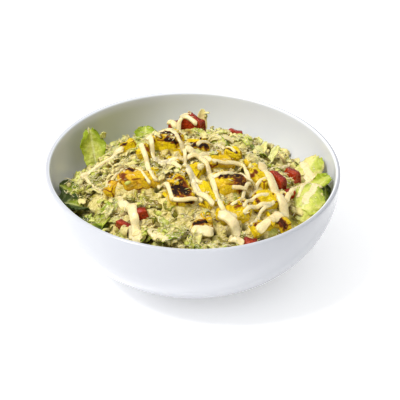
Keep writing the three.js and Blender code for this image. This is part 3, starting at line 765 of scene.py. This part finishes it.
def drawn_leaf(purposes, ranges, coarse_cells, fine_cells, thickness):
    """A maker of one scattered piece, which tests it on the solid's few points and then builds it finely.

    purposes and ranges are of its heading, length, width, curl, cup, rise, roll and phase.
    """
    def draw_leaf(x, y, draw):
        heading, length, width, curl, cup, rise, roll, phase = (
            draw(purpose, *limits) for purpose, limits in zip(purposes, ranges))
        pose = (x, y, heading, slope_along(x, y, heading) + rise, roll, -3)

        def placed(cells, frill, green, cream):
            surface = leaf_surface((length, width), curl, cup, phase, frill)
            return leaf(surface, thickness, cells, pose, green, cream)

        def fine(k):
            outward, fresh = outwardness(x, y), freshness(x, y)
            green = drawer(k)(41, 0.05, 0.55) + 0.3 * outward * chance(k, 42) + 0.3 * fresh
            cream = drawer(k)(43, 0.3, 0.9) * (1 - 0.5 * outward) * (1 - fresh)
            return placed(fine_cells, 0.05 * width, green, cream)

        return placed(coarse_cells, 0, 0, 0)[0], fine

    return draw_leaf


def large_leaves():
    """The leaves of LARGE_LEAVES in one pile, and the middle of each."""
    pile, middles = Pile(), []
    for k, ((x, y), heading, size, rise, curl, cup, green, cream) in enumerate(LARGE_LEAVES):
        surface = leaf_surface(size, curl, cup, k * 1.7, 0.02 * size[1])
        points, faces, u, v = sheet(surface, LEAF_THICKNESS, 34, 28)
        points = keep_in_bowl(plant(points, x, y, heading, rise, drawer(k)(1, -12, 12), -4))
        middles.append((points.min(0) + points.max(0)) / 2)
        pile.add(points, faces, leaf_colours(u, v, points, green, cream))
    return pile, middles


SMALL_LEAF = drawn_leaf((2, 3, 4, 5, 6, 7, 8, 11),
                        ((0, 360), (13, 22), (9, 16), (20, 70), (-0.35, 0.35), (14, 34), (-20, 20), (0, 6)),
                        (3, 2), (22, 16), LEAF_THICKNESS)
SHRED = drawn_leaf((12, 13, 14, 15, 16, 17, 18, 19),
                   ((0, 360), (11, 22), (3, 5.5), (40, 100), (-0.3, 0.5), (24, 48), (-25, 25), (0, 6)),
                   (3, 1), (18, 5), SHRED_THICKNESS)


def torn_bits(count):
    """Small torn and chopped bits that fill the heap's surface between the larger leaves."""
    pile = Pile()
    for k in range(count):
        draw = drawer(k)
        x, y = spiral(k, count, BITS_REACH, 5.2)
        outward = outwardness(x, y)
        x, y = x + draw(51, -4, 4), y + draw(52, -4, 4)
        if near_any(CALM, x, y) > 0 and chance(k, 50) > 0.2 or near_any(GAPS, x, y) > 0:
            continue
        fresh, heading, long = freshness(x, y), draw(53, 0, 360), draw(54, 6, 17, 1.3)
        size = (long, long * draw(55, 0.35, 0.95))
        surface = leaf_surface(size, draw(58, 20, 110), draw(59, -0.6, 0.6), draw(60, 0, 6), 0.05 * size[1])
        rise = slope_along(x, y, heading) + draw(56, -2, 36)
        pose = (x, y, heading, rise, draw(65, -35, 35), draw(57, -2.8, -0.6))
        green = draw(61, 0.0, 0.75, 2.2) + 0.25 * outward * chance(k, 62) + 0.35 * fresh
        cream = chance(k, 63) * (1 - 0.35 * outward) * (1 - 0.8 * fresh)
        points, faces, colours = leaf(surface, draw(64, 0.7, 1.2), (10, 7), pose, green, cream)
        over_gap = near_any(GAPS, points[:, 0], points[:, 1]).max() > 0.35
        if not over_gap and near_topping(points[::7], -0.6).mean() <= 0.12:
            pile.add(keep_in_bowl(points), faces, colours)
    return pile


def curls(tree, count):
    """Curled, crimped shreds of dressed lettuce that lie on whatever is under them."""
    pile = Pile()
    k = np.arange(count)
    x, y = spiral(k, count, FINE_REACH, 3.7)
    x, y = x + drawer(k)(151, -3, 3), y + drawer(k)(152, -3, 3)
    places, _, hit = land(tree, x, y)
    fresh = freshness(x, y)
    hit &= ~near_topping(places, 1.0) & ~near_stroke(x, y, 1.5)
    hit &= (near_any(CALM, x, y) == 0) | (chance(k, 149) < 0.1)
    for i in k[hit]:
        draw = drawer(i)
        heading, long = draw(153, 0, 360), draw(154, 4, 11, 1.3)
        size = (long, long * draw(155, 0.28, 0.6))
        surface = leaf_surface(size, draw(156, 50, 190), draw(157, -0.6, 0.8), draw(158, 0, 6), 0.08 * long)
        rise = slope_along(x[i], y[i], heading) + draw(161, 5, 55)
        lift = places[i, 2] - float(dome_height(x[i], y[i])) + draw(163, -1.8, 0.2)
        pose = (x[i], y[i], heading, rise, draw(162, -40, 40), lift)
        green = draw(159, 0.0, 0.55, 2.2) + 0.45 * fresh[i]
        cream = draw(160, 0.35, 1.0) * (1 - 0.8 * fresh[i])
        points, faces, colours = leaf(surface, 0.8, (10, 4), pose, green, cream)
        over_gap = near_any(GAPS, points[:, 0], points[:, 1]).max() > 0.4
        if not over_gap and not near_topping(points[::5], 0.2).any():
            pile.add(keep_in_bowl(points), faces, colours)
    return pile


def blurred(grid, reach):
    """A grid of heights, averaged over the given number of cells each way, twice."""
    for axis in (0, 1, 0, 1):
        grid = np.mean([shifted(grid, axis, cells) for cells in range(-reach, reach + 1)], axis=0)
    return grid


def bed_heights(toppings, x, y):
    """How high shreds, cheese and dressing have filled in between the toppings over points (x, y)."""
    line = np.arange(-BED_RADIUS, BED_RADIUS + BED_CELL, BED_CELL)
    grid_x, grid_y = crossed(line, line)
    places, _, hit = land(toppings, grid_x, grid_y)
    bare = dome_height(grid_x, grid_y) - CORE_DEPTH
    filled = np.where(hit, np.maximum(places[:, 2], bare), bare)
    bed = blurred(filled.reshape(len(line), len(line)), BED_REACH)
    i, j = [np.clip((c + BED_RADIUS) / BED_CELL, 0, len(line) - 1.001) for c in (x, y)]
    a, b = i.astype(int), j.astype(int)
    u, v = i - a, j - b
    near = bed[a, b] * (1 - u) * (1 - v) + bed[a + 1, b] * u * (1 - v)
    far = bed[a, b + 1] * (1 - u) * v + bed[a + 1, b + 1] * u * v
    return np.where(np.hypot(x, y) < BED_RADIUS - 2, near + far - BED_DEPTH, 0)


def core(toppings):
    """The heap's surface under the leaves: lumpy, with painted shade in its hollows, filled in round the
    toppings.
    """
    rings, sides = 134, 440
    reach = (np.arange(rings) / (rings - 1)) * (DOME_RADIUS + 2)
    angle = np.arange(sides) / sides * TAU
    x, y = np.outer(reach, np.cos(angle)).ravel(), np.outer(reach, np.sin(angle)).ravel()
    flat = np.stack([x, y, np.zeros_like(x)], 1)
    relief = 2.3 * lumps(flat, 10, 21, 2) + 1.5 * lumps(flat, 4.2, 22, 3) + 0.5 * noise(flat, 1.5, 23)
    bare = dome_height(x, y) - CORE_DEPTH - 0.4
    crumbly = 1.1 * noise(flat, 6.5, 26) + 0.9 * noise(flat, 3.2, 27) + 0.55 * noise(flat, 1.7, 28)
    gap = smooth(0, 0.6, near_any(GAPS, x, y))
    bed = bed_heights(toppings, x, y) - 7 * gap
    z = np.maximum(bare + relief - 4 * gap, bed + crumbly)
    # Painted shade: the lettuce is darker and browner in the low places of its relief, paler on the high
    # ones.
    depth = smooth(-1.8, 1.6, relief + 0.5 * noise(flat, 2.2, 25))
    lettuce = mix(srgb(84, 72, 2), srgb(176, 168, 40), smooth(0.1, 0.6, depth))
    lettuce = mix(lettuce, srgb(240, 226, 150), smooth(0.5, 0.95, depth))
    # Painted shade too: the filling is darker and browner where it lies low.
    height = crumbly + 0.7 * noise(flat, 2.2, 29)
    filling = mix(srgb(108, 78, 4), srgb(206, 186, 66), smooth(-0.9, -0.25, height))
    filling = mix(filling, FILM, smooth(-0.3, 0.45, height))
    filling = mix(filling, FRESH, 0.7 * smooth(0.3, 0.6, noise(flat, 4.0, 31)))
    colour = mix(lettuce, filling, smooth(-0.8, 0.8, bed + crumbly - bare - relief))
    # Painted shadow: the gaps are darkened almost to black-brown.
    colour = mix(colour, srgb(48, 34, 4), 0.9 * gap)
    pile = Pile()
    pile.add(keep_in_bowl(np.stack([x, y, z], 1), 0.5), tube(rings, sides)[:, [0, 3, 2, 1]], colour)
    return pile


# ---- Toppings ------------------------------------------------------------------------------------------


def seat_of(at, heading, size, rise, lean):
    """Where a topping sits: leaning most of the way with the slope of the heap, and then by its own lean."""
    x, y = at
    normal = dome_normal(x, y).lerp(UP, 0.3).normalized()
    tilt = UP.rotation_difference(normal).to_matrix()
    seat = (tilt @ turned(heading, lean[1], lean[0])).to_4x4()
    seat.translation = (x, y, float(dome_height(x, y)) + rise - size[2] / 2)
    return seat


TOPPING_SEATS = [(np.array(seat_of(*t[:5]).inverted()), t[2]) for t in CHICKEN + TOMATO]


def block_grid(cells):
    """Points of a cube from -1 to 1 split into cells along each axis, merged at the edges, and its faces."""
    index, faces = {}, []
    for axis, first, second in ((2, 0, 1), (1, 0, 2), (0, 1, 2)):
        for side in (0, cells[axis]):
            for a, b in np.ndindex(cells[first], cells[second]):
                quad = []
                for i, j in ((a, b), (a + 1, b), (a + 1, b + 1), (a, b + 1)):
                    key = [side] * 3
                    key[first], key[second] = i, j
                    quad.append(index.setdefault(tuple(key), len(index)))
                faces.append(quad if (side == 0) == (axis == 1) else quad[::-1])
    return 2 * np.array(list(index)) / cells - 1, np.array(faces)


def chunk(cube, size, seed, boxiness, face, taper):
    """The solid's uneven block with its edges rounded off smoothly. Returns points in its own frame."""
    v = cube
    power = (np.abs(v) ** boxiness).sum(1) ** (1 / boxiness)
    p = v / power[:, None] * face
    p[:, 0] *= 1 + 0.1 * np.sin(2.1 * v[:, 1] + 1.7 * seed)
    p[:, 1] *= 1 + 0.14 * np.sin(1.9 * v[:, 0] + 2.3 * seed)
    p[:, 2] *= 1 + 0.1 * np.sin(2.3 * v[:, 0] + 1.1 * v[:, 1] + 0.7 * seed)
    p[:, :2] *= (1 - taper * (v[:, 2] + 1) / 2)[:, None]
    p[:, 0] += 0.12 * v[:, 2] * math.sin(5.1 * seed)
    p[:, 1] += 0.12 * v[:, 0] ** 2 * math.sin(3.3 * seed)
    return p * (np.array(size) / 2)


def char_at(number, own, size):
    """How charred piece `number` is at points of its own frame, from 0 to 1, by the marks in CHAR."""
    total = np.zeros(len(own))
    streaks = own * (0.4, 1, 1)
    rough = 0.35 * lumps(streaks, 2.6, 65, 2) + 0.45 * noise(streaks, 0.9, 67 + number)
    half = np.array(size) / 2
    for piece, start, end, radius, depth in CHAR:
        if piece != number:
            continue
        start, end = np.array(start) * half, np.array(end) * half
        along = end - start
        share = np.clip(((own - start) @ along) / max(along @ along, 1e-6), 0, 1)
        away = np.linalg.norm(own - start - share[:, None] * along, axis=1)
        total = np.maximum(total, depth * smooth(1.5, 0.4, away / radius + rough))
    return total


def chicken_colours(grain, fibre, craggy, burnt, golden, edge):
    """Turmeric yellow to golden brown, with pale fibres that are partly a painted highlight, browned edges,
    olive painted shade in the hollows, and charred marks.
    """
    patch = lumps(grain, 6, 64, 2)
    warm = np.clip(0.7 * golden + 0.45 * patch + 0.1 * fibre - 0.05, 0, 1)
    burnt = np.maximum(burnt, 0.42 * edge * smooth(-0.3, 0.5, lumps(grain, 4, 69, 2) + 0.3 * golden))
    colour = mix(YELLOW, GOLD, warm)
    # Pale fibres, partly a painted highlight on the raised ones.
    colour = mix(colour, PALE_FIBRE_AND_HIGHLIGHT, 0.55 * smooth(0.15, 0.9, fibre) * (0.4 + 0.6 * warm))
    # Painted shade: olive in the hollows of the craggy surface.
    colour = mix(colour, OLIVE_MEAT_SHADE, 0.55 * smooth(-0.1, -0.7, craggy + 0.3 * fibre))
    speck = smooth(0.45, 0.8, noise(grain * (0.5, 1, 1), 0.9, 66) + 0.25 * patch)
    colour = mix(colour, BROWN, (0.2 + 0.4 * warm) * speck)
    colour = mix(colour, BROWN, smooth(0.08, 0.42, burnt))
    colour = mix(colour, BLACK, smooth(0.5, 0.85, burnt))
    return mix(colour, GOLD, 0.6 * smooth(0.35, 0.7, noise(grain, 1.3, 68)) * smooth(0.3, 0.6, burnt))


def chicken():
    """Grilled breast pieces: cut sides with coarse fibres along their length, and uneven torn edges."""
    pile = Pile()
    cube, faces = block_grid((36, 26, 22))
    edge = smooth(0.7, 1.0, np.sort(np.abs(cube), axis=1)[:, 1])
    for k, (at, heading, size, rise, lean, golden) in enumerate(CHICKEN):
        p = chunk(cube, size, k, between(4.5, 3.2, golden), 1.08, 0.1)
        grain = p + 31 * k
        fibre = noise(grain * (0.35, 1, 1), 1.2, 61) + 0.6 * noise(grain * (0.4, 1, 1), 0.6, 62)
        craggy = lumps(grain, 5.5, 63, 3)
        burnt = char_at(k + 1, p, size)
        crust = golden * noise(grain, 2.2, 70)
        relief = np.minimum(0.24 * fibre + 1.8 * craggy + 0.7 * crust - 0.45, 0.7)
        relief = relief - 0.3 * smooth(0.3, 0.8, burnt)
        world = seated(swollen(p, relief), seat_of(at, heading, size, rise, lean))
        pile.add(world, faces, chicken_colours(grain, fibre, craggy, burnt, golden, edge))
    return pile


def chicken_shreds(tree, count):
    """Torn bits of the same meat that lie between the pieces."""
    pile = Pile()
    cube, faces = block_grid((10, 6, 4))
    k = np.arange(count)
    radius, angle = np.sqrt(chance(k, 121)), TAU * chance(k, 122)
    x = MIDDLE_X + MIDDLE_WIDTH * radius * np.cos(angle)
    y = MIDDLE_Y + MIDDLE_DEPTH * radius * np.sin(angle) - 0.3 * (x - MIDDLE_X)
    places, normals, hit = land(tree, x, y)
    hit &= ~near_topping(places, 0.3)
    for i in k[hit]:
        draw = drawer(i)
        long = draw(123, 4, 9.5)
        size = (long, long * draw(124, 0.35, 0.6), draw(125, 2.2, 4))
        p = chunk(cube, size, i, 4, 1.0, 0.2)
        grain = p + 7 * i
        fibre, craggy = noise(grain * (0.3, 1, 1), 0.9, 61), lumps(grain, 2.5, 63, 2)
        p = swollen(p, 0.3 * fibre + 0.5 * craggy)
        turn = UP.rotation_difference(Vector(normals[i]).lerp(UP, 0.4)).to_matrix()
        turn = turn @ Matrix.Rotation(math.radians(-38) + draw(126, -0.7, 0.7), 3, "Z")
        world = p @ np.array(turn).T + places[i] + (0, 0, 0.1 * size[2])
        burnt = 0.9 * smooth(0.1, 0.6, noise(grain, 3.0, 65) + chance(i, 128) - 0.8)
        pile.add(world, faces, chicken_colours(grain, fibre, craggy, burnt, draw(127, 0, 0.9), 0))
    return pile


def tomato():
    """Diced tomato: skin on one long side, wet flesh on the others."""
    pile = Pile()
    cube, faces = block_grid((20, 14, 14))
    skin, flesh, pulp = srgb(138, 22, 0), srgb(172, 48, 2), srgb(190, 84, 22)
    for k, (at, heading, size, rise, lean) in enumerate(TOMATO):
        p = chunk(cube, size, k + 40, 9, 1.04, 0.3)
        own = p + 53 * k
        world = seated(swollen(p, 0.45 * lumps(own, 3.0, 71, 3)), seat_of(at, heading, size, rise, lean))
        colour = mix(skin, flesh, smooth(-0.5, 0.4, -cube[:, 1]))
        colour = mix(colour, pulp, 0.6 * smooth(0.1, 0.7, lumps(own, 3.0, 72, 3)))
        pile.add(world, faces, colour)
    return pile


# ---- Cheese ------------------------------------------------------------------------------------------


def sprinkled(tree, count, purpose, patch, margin, few_on_toppings, share):
    """Places for small things in drifts of the given size: places, normals and their numbers."""
    k = np.arange(count)
    radius, angle = FINE_REACH * np.sqrt(chance(k, purpose)), TAU * chance(k, purpose + 1)
    x, y = radius * np.cos(angle), radius * np.sin(angle)
    flat = np.stack([x, y, np.zeros(count)], 1)
    drifts = noise(flat, patch, purpose) + 0.5 * noise(flat, patch / 2.5, purpose + 1)
    keep = drifts > 1.3 * chance(k, purpose + 2) - share
    for cx, cy, reach in CALM:
        keep &= (np.hypot(x - cx, y - cy) > reach) | (chance(k, purpose + 3) < 0.04)
    keep &= near_any(GAPS, x, y) < 0.3
    k, x, y = k[keep], x[keep], y[keep]
    places, normals, hit = land(tree, x, y)
    hit &= ~near_topping(places, margin) | (chance(k, purpose + 4) < few_on_toppings)
    hit &= normals[:, 2] > 0.35
    return places[hit], normals[hit], k[hit]


def across(direction):
    """Unit vectors at right angles to each of the given ones, and to each other."""
    side = np.cross(direction, (0.31, 0.17, 0.94))
    side /= np.linalg.norm(side, axis=1, keepdims=True)
    return side, np.cross(side, direction)


def lying(normals, k, purpose, low, high, flatness):
    """Unit headings for things on a surface: any way round, tipped up by a draw, then partly laid flat."""
    heading = TAU * chance(k, purpose)
    along = np.stack([np.cos(heading), np.sin(heading), drawer(k)(purpose + 1, low, high)], 1)
    along -= normals * (along * normals).sum(1, keepdims=True) * flatness
    return along / np.linalg.norm(along, axis=1, keepdims=True)


def strands(tree, count):
    """Finely grated hard cheese: short curled strands that lie on whatever is under them."""
    places, normals, k = sprinkled(tree, count, 81, 13, 1.4, 0.03, 0.6)
    draw = drawer(k)
    along = lying(normals, k, 85, -0.1, 0.7, 0.7)
    side, over = across(along)
    long = draw(87, 1.6, 6.0, 1.5)[:, None, None]
    thick = draw(88, 0.2, 0.38)[:, None, None]
    bend = draw(89, -0.8, 0.8)[:, None, None]
    t = (np.arange(4) / 3 - 0.5)[None, :, None]
    middle = (places + normals * thick[:, 0] * 0.6)[:, None]
    line = middle + t * long * along[:, None] + bend * (0.25 - t * t) * long * side[:, None]
    width = thick * np.array([0.55, 1.0, 0.95, 0.5])[None, :, None]
    turn = (np.arange(3) / 3 * TAU)[None, :, None]
    ring = np.cos(turn) * side[:, None] + 0.8 * np.sin(turn) * over[:, None]
    points = line[:, :, None] + width[:, :, None] * ring[:, None]
    colour = mix(CHEESE_LIGHT, CHEESE_DEEP, chance(k, 90))
    colour = mix(colour, CHEESE_GREEN, smooth(0.75, 1.0, chance(k, 80)))
    return many(points.reshape(len(k), 12, 3), tube(4, 3), colour)


def crumbs(tree, count):
    """Crumbs of the same cheese, each a small uneven octahedron."""
    places, normals, k = sprinkled(tree, count, 91, 12, 1.0, 0.03, 0.55)
    draw = drawer(k)
    size = draw(95, 0.3, 0.8, 1.5)
    corners = np.array([(1, 0, 0), (0, 1, 0), (-1, 0, 0), (0, -1, 0), (0, 0, 1), (0, 0, -1)], float)
    uneven = np.stack([draw(96 + i, 0.6, 1.3) for i in range(6)], 1) * size[:, None]
    a, b = draw(102, 0, TAU), draw(103, 0, TAU)
    first = np.stack([np.cos(a), np.sin(a) * np.cos(b), np.sin(a) * np.sin(b)], 1)
    axes = np.stack([first, *across(first)], 1)
    points = np.einsum("ij,njk->nik", corners, axes) * uneven[:, :, None]
    points += (places + normals * size[:, None] * 0.35)[:, None]
    faces = [(i, (i + 1) % 4, 4) for i in range(4)] + [((i + 1) % 4, i, 5) for i in range(4)]
    colour = mix(CHEESE_LIGHT, CHEESE_DEEP, chance(k, 104))
    colour = mix(colour, CHEESE_GREEN, chance(k, 105) < 0.1)
    return many(points, np.array(faces), mix(colour, TOASTED, chance(k, 106) < 0.04))


def flecks(tree, count):
    """Finely chopped lettuce: small curled flakes, cream to fresh green, and a few of them olive."""
    places, normals, k = sprinkled(tree, count, 131, 14, 2.0, 0.02, 0.5)
    x, y = places[:, 0], places[:, 1]
    middle = np.hypot((x - MIDDLE_X) / MIDDLE_WIDTH, (y - MIDDLE_Y) / MIDDLE_DEPTH) < 1
    keep = (~middle | (chance(k, 143) < 0.35)) & ~near_stroke(x, y, 0.5)
    places, normals, k = places[keep], normals[keep], k[keep]
    draw = drawer(k)
    along = lying(normals, k, 135, -0.2, 0.9, 0.6)
    side = np.cross(normals, along)
    side /= np.maximum(np.linalg.norm(side, axis=1, keepdims=True), 1e-6)
    over = np.cross(along, side)
    long, wide, bend = draw(137, 2.0, 6.5, 1.4), draw(138, 1.4, 3.6), draw(139, -0.5, 0.5)
    points = []
    for i, narrow in enumerate((0.6, 1.0, 0.9, 0.5)):
        t = i / 3 - 0.5
        for j, face in ((-0.5, -0.5), (-0.5, 0.5), (0.5, 0.5), (0.5, -0.5)):
            rise = bend * (0.25 - t * t) * 2 * long + 0.35 * face + draw(140, 0.1, 0.5)
            points.append(places + along * (t * long)[:, None] + side * (j * narrow * wide)[:, None]
                          + over * rise[:, None])
    faces = np.vstack([tube(4, 4), [(2, 1, 0, 3), (12, 13, 14, 15)]])
    green = 1.1 * lumps(places, 12, 33, 2) + 0.6 * chance(k, 141) - 0.4
    green = green + 0.5 * freshness(places[:, 0], places[:, 1])
    colour = mix(FILM, PALE, smooth(-0.2, 0.35, green))
    colour = mix(colour, FRESH, 0.8 * smooth(0.4, 1.0, green))
    colour = mix(colour, OLIVE, 0.8 * (chance(k, 142) < 0.1))
    return many(np.stack(points, 1), faces, colour)


def many(points, faces, colours):
    """A pile of like pieces: points (n, p, 3), the faces of one piece and a colour for each."""
    n, p, _ = points.shape
    pile = Pile()
    every = faces[None] + (np.arange(n) * p)[:, None, None]
    pile.add(points.reshape(-1, 3), every.reshape(-1, faces.shape[1]), np.repeat(colours, p, axis=0))
    return pile


# ---- Dressing ------------------------------------------------------------------------------------------


def distance_along(line):
    """How far along a line each of its points is."""
    return np.r_[0, np.cumsum(np.linalg.norm(np.diff(line, axis=0), axis=1))]


def along_line(corners, spacing):
    """A smooth line through the corners, seen from above, with points at the given spacing."""
    corners = np.array(corners, float)
    if len(corners) == 2:
        corners = np.array([corners[0], corners.mean(0), corners[1]])
    chord = distance_along(corners)
    padded = np.vstack([2 * corners[0] - corners[1], corners, 2 * corners[-1] - corners[-2]])
    at = np.linspace(0, chord[-1], max(8, round(chord[-1] / spacing)))
    cell = np.clip(np.searchsorted(chord, at, side="right") - 1, 0, len(corners) - 2)
    t = ((at - chord[cell]) / (chord[cell + 1] - chord[cell]))[:, None]
    a, b, c, d = (padded[cell + i] for i in range(4))
    return 0.5 * (2 * b + (c - a) * t + (2 * a - 5 * b + 4 * c - d) * t**2 + (3 * b - a - 3 * c + d) * t**3)


def settle(height, spacing, gap, steepness):
    """How thick dressing lies over the heights under it: it bridges gaps and slides down steps."""
    for axis, step in enumerate(spacing):
        reach = max(1, round(gap / step))
        height = np.max([shifted(height, axis, cells) - steepness * abs(cells) * step
                         for cells in range(-reach, reach + 1)], axis=0)
        for _ in range(2):
            height = 0.5 * height + 0.25 * (shifted(height, axis, -1) + shifted(height, axis, 1))
    return height


def poured(pile, tree, corners, width, thickness, seed, ragged, cells):
    """Adds a stroke or smear of dressing: rounded on top, uneven at its sides, sunk in at its edge."""
    line = along_line(corners, POURED_SPACING)
    count, columns = len(line), cells + 1
    step = np.gradient(line, axis=0)
    step /= np.linalg.norm(step, axis=1, keepdims=True)
    side = np.stack([-step[:, 1], step[:, 0]], 1)
    run = distance_along(line)
    to_end = np.minimum(run, run[-1] - run)
    cap = np.sqrt(np.clip(1 - (1 - np.clip(to_end / (0.5 * width), 0, 1)) ** 2, 0, 1))
    blob = 1 + 0.12 * np.exp(-(((to_end - 0.5 * width) / (0.6 * width)) ** 2))
    flat = np.c_[line, np.zeros(count)]
    reach = 0.5 * width * np.maximum(cap, 0.03) * blob
    right, left = [(reach * (1 + ragged * lumps(flat, 5.5, seed + i, 2)))[:, None] for i in (0, 7)]
    t = np.linspace(-1, 1, columns)
    offset = np.where(t < 0, right, left) * t
    xy = line[:, None] + side[:, None] * offset[:, :, None]
    x, y = xy.reshape(-1, 2).T
    found, _, hit = land(tree, x, y)
    height = np.where(hit, found[:, 2], dome_height(x, y) - 3).reshape(count, columns)
    height = settle(height, (run[-1] / (count - 1), width / cells), gap=5.0, steepness=0.45)
    swell = blob * (1 + 0.25 * noise(flat, 5, seed + 3)) * cap
    profile = (1 - np.abs(t) ** 2.2) ** 0.6
    body = thickness * swell[:, None] * profile
    top = np.dstack([xy, height + body - 0.5 * (1 - profile)])
    top[:, :, 2] += 0.16 * noise(top.reshape(-1, 3), 1.3, seed + 4).reshape(count, columns) * profile
    under = np.dstack([xy, np.minimum(height, top[:, :, 2]) - 0.7])
    points = np.concatenate([top.reshape(-1, 3), under.reshape(-1, 3)])
    thick = np.tile(smooth(0.0, 0.7, body / thickness).ravel(), 2)
    colour = mix(SAUCE_DEEP, SAUCE, 0.35 + 0.65 * thick)
    colour = mix(colour, SAUCE_DEEP, 0.5 * smooth(0.0, 0.7, lumps(points, 4, seed + 5, 2)))
    pile.add(points, slab(count, columns, top=[0, 3, 2, 1], under=[1, 2, 3, 0]), colour)


def film(tree):
    """Broad thin smears of dressing between the strokes."""
    pile = Pile()
    for k, (corners, width) in enumerate(SMEARS):
        poured(pile, tree, corners, 1.1 * width, 0.3, seed=200 + 11 * k, ragged=0.8, cells=14)
    return pile


def dressing(tree):
    """The poured strokes."""
    pile = Pile()
    for k, (corners, width) in enumerate(DRESSING):
        poured(pile, tree, corners, 1.08 * width - 0.3, 0.22 * width, seed=500 + 11 * k, ragged=0.2, cells=8)
    return pile


# ---- Scene ---------------------------------------------------------------------------------------------


def build():
    """Makes every piece. What lies on top is laid over what is already there."""
    bowl().make("white_bowl", porcelain_material(), ["bowl"])

    lettuce_look = food_material("dressed_lettuce", "lettuce", (1.1, 0.14), (0.28, 0.5),
                                 [(2.6, 0.45), (0.9, 0.4)], gloss=0.3, softness=0.2, radius=(1.2, 1.4, 0.5))
    base_look = food_material("heap_inside", "lettuce", (1.4, 0.35), (0.5, 0.75), [(2.0, 0.6), (0.7, 0.7)])
    chicken_look = food_material("grilled_chicken", "chicken", (0.8, 0.34), (0.42, 0.75),
                                 [(1.6, 0.6), (0.5, 0.8)], gloss=0.16, softness=0.05, radius=(1.2, 0.8, 0.2))
    tomato_look = food_material("wet_tomato", "tomato", (1.4, 0.4), (0.14, 0.35), [(2.2, 0.45), (0.8, 0.35)],
                                gloss=0.3, softness=0.03, radius=(1.6, 0.3, 0.1))
    cheese_look = food_material("grated_cheese", "lettuce", (0.8, 0.08), (0.5, 0.7), [(0.5, 0.3)],
                                softness=0.2, radius=(1.0, 0.9, 0.6))
    cream_look = food_material("cream_dressing", "dressing", (1.6, 0.06), (0.2, 0.34),
                               [(1.6, 0.2), (0.7, 0.2)], softness=0.5, radius=(2.4, 2.0, 1.2))

    meat, fruit = chicken(), tomato()
    base = core(bvh_of(meat, fruit))
    leaves, middles = large_leaves()
    for drawn in (scatter(LEAF_COUNT, 0.4, LEAF_SPACING, SMALL_LEAF, middles)
                  + scatter(SHRED_COUNT, 2.1, SHRED_SPACING, SHRED, middles)):
        leaves.add(*drawn)
    bits = torn_bits(count=620)
    food = [base, leaves, bits, meat]
    shreds = chicken_shreds(bvh_of(*food, fruit), count=110)
    food += [shreds, fruit]
    under = bvh_of(*food)
    smears, curled, chopped = film(under), curls(under, count=1100), flecks(under, count=4200)
    food.append(smears)
    cream = dressing(bvh_of(*food))
    grated = strands(bvh_of(*food, chopped, curled), count=15000)
    crumbled = crumbs(bvh_of(*food, chopped, curled, cream), count=12000)

    base.make("heap_core", base_look, ["salad"])
    leaves.make("lettuce_leaves", lettuce_look, ["salad"])
    bits.make("lettuce_bits", lettuce_look, ["salad"])
    meat.make("chicken_pieces", chicken_look, [n for n in FOOD if n.startswith("chicken")])
    shreds.make("chicken_shreds", chicken_look, ["salad"])
    fruit.make("tomato_pieces", tomato_look, [n for n in FOOD if n.startswith("tomato")])
    chopped.make("lettuce_flecks", lettuce_look, ["salad"])
    curled.make("lettuce_curls", lettuce_look, ["salad"])
    grated.make("cheese_strands", cheese_look, ["salad"])
    crumbled.make("cheese_crumbs", cheese_look, ["salad"])
    smears.make("dressing_film", cream_look, FOOD)
    cream.make("dressing_strokes", cream_look, FOOD)


def stage():
    """A plain pale floor, a soft key light from the left, and a room brightest above and on the left."""
    mesh = bpy.data.meshes.new("floor")
    far = 12.0
    mesh.from_pydata([(-far, -far, 0), (far, -far, 0), (far, far, 0), (-far, far, 0)], [], [(0, 1, 2, 3)])
    floor = bpy.data.objects.new("floor", mesh)
    bpy.context.scene.collection.objects.link(floor)
    material, shading, shader = new_material("pale_floor", "")
    shading.fill(shader, {
        "Base Color": (0.9, 0.9, 0.9, 1),
        "Roughness": 0.9,
        "Emission Color": (1, 1, 1, 1),
        "Emission Strength": 0.35,
    })
    mesh.materials.append(material)

    world = bpy.data.worlds.new("room")
    bpy.context.scene.world = world
    world.use_nodes = True
    room = Shading(world.node_tree)
    brightest = (-0.35, 0.0, 0.85)
    facing = room.add("VectorMath", {0: room.coordinates["Generated"], 1: brightest}, "Value",
                      operation="DOT_PRODUCT")
    sky = room.ramp(facing, (0.0, (0.38, 0.39, 0.40)), (1.0, 1.0))
    room.fill(world.node_tree.nodes["Background"], {"Color": sky, "Strength": 1.12})

    key = bpy.data.lights.new("key", "SUN")
    key.energy = 2.12
    key.angle = math.radians(14)
    key.color = (1.0, 0.98, 0.94)
    lamp = bpy.data.objects.new("key", key)
    lamp.rotation_mode = "QUATERNION"
    lamp.rotation_quaternion = Vector((0.58, 0.24, -1.0)).to_track_quat("-Z", "Y")
    bpy.context.scene.collection.objects.link(lamp)


def camera():
    """Looks down on the bowl from the front, a little rolled, as the photograph does."""
    pitch, roll = math.radians(34.16), math.radians(1.3)
    target = Vector((5.5, 0, 46.9)) * MM
    distance, focal_pixels, frame_pixels = 1.0, 1380.0, 400.0
    forward = Vector((0, math.cos(pitch), -math.sin(pitch)))
    level_right, level_up = Vector((1, 0, 0)), Vector((0, math.sin(pitch), math.cos(pitch)))
    right = math.cos(roll) * level_right + math.sin(roll) * level_up
    up = -math.sin(roll) * level_right + math.cos(roll) * level_up
    data = bpy.data.cameras.new("camera")
    data.sensor_width = 36
    data.lens = focal_pixels / frame_pixels * data.sensor_width
    seen_from = bpy.data.objects.new("camera", data)
    seen_from.rotation_mode = "QUATERNION"
    seen_from.rotation_quaternion = Matrix((right, up, -forward)).transposed().to_quaternion()
    seen_from.location = target - forward * distance
    bpy.context.scene.collection.objects.link(seen_from)
    bpy.context.scene.camera = seen_from


build()
stage()
camera()
bpy.context.scene.view_settings.view_transform = "Standard"
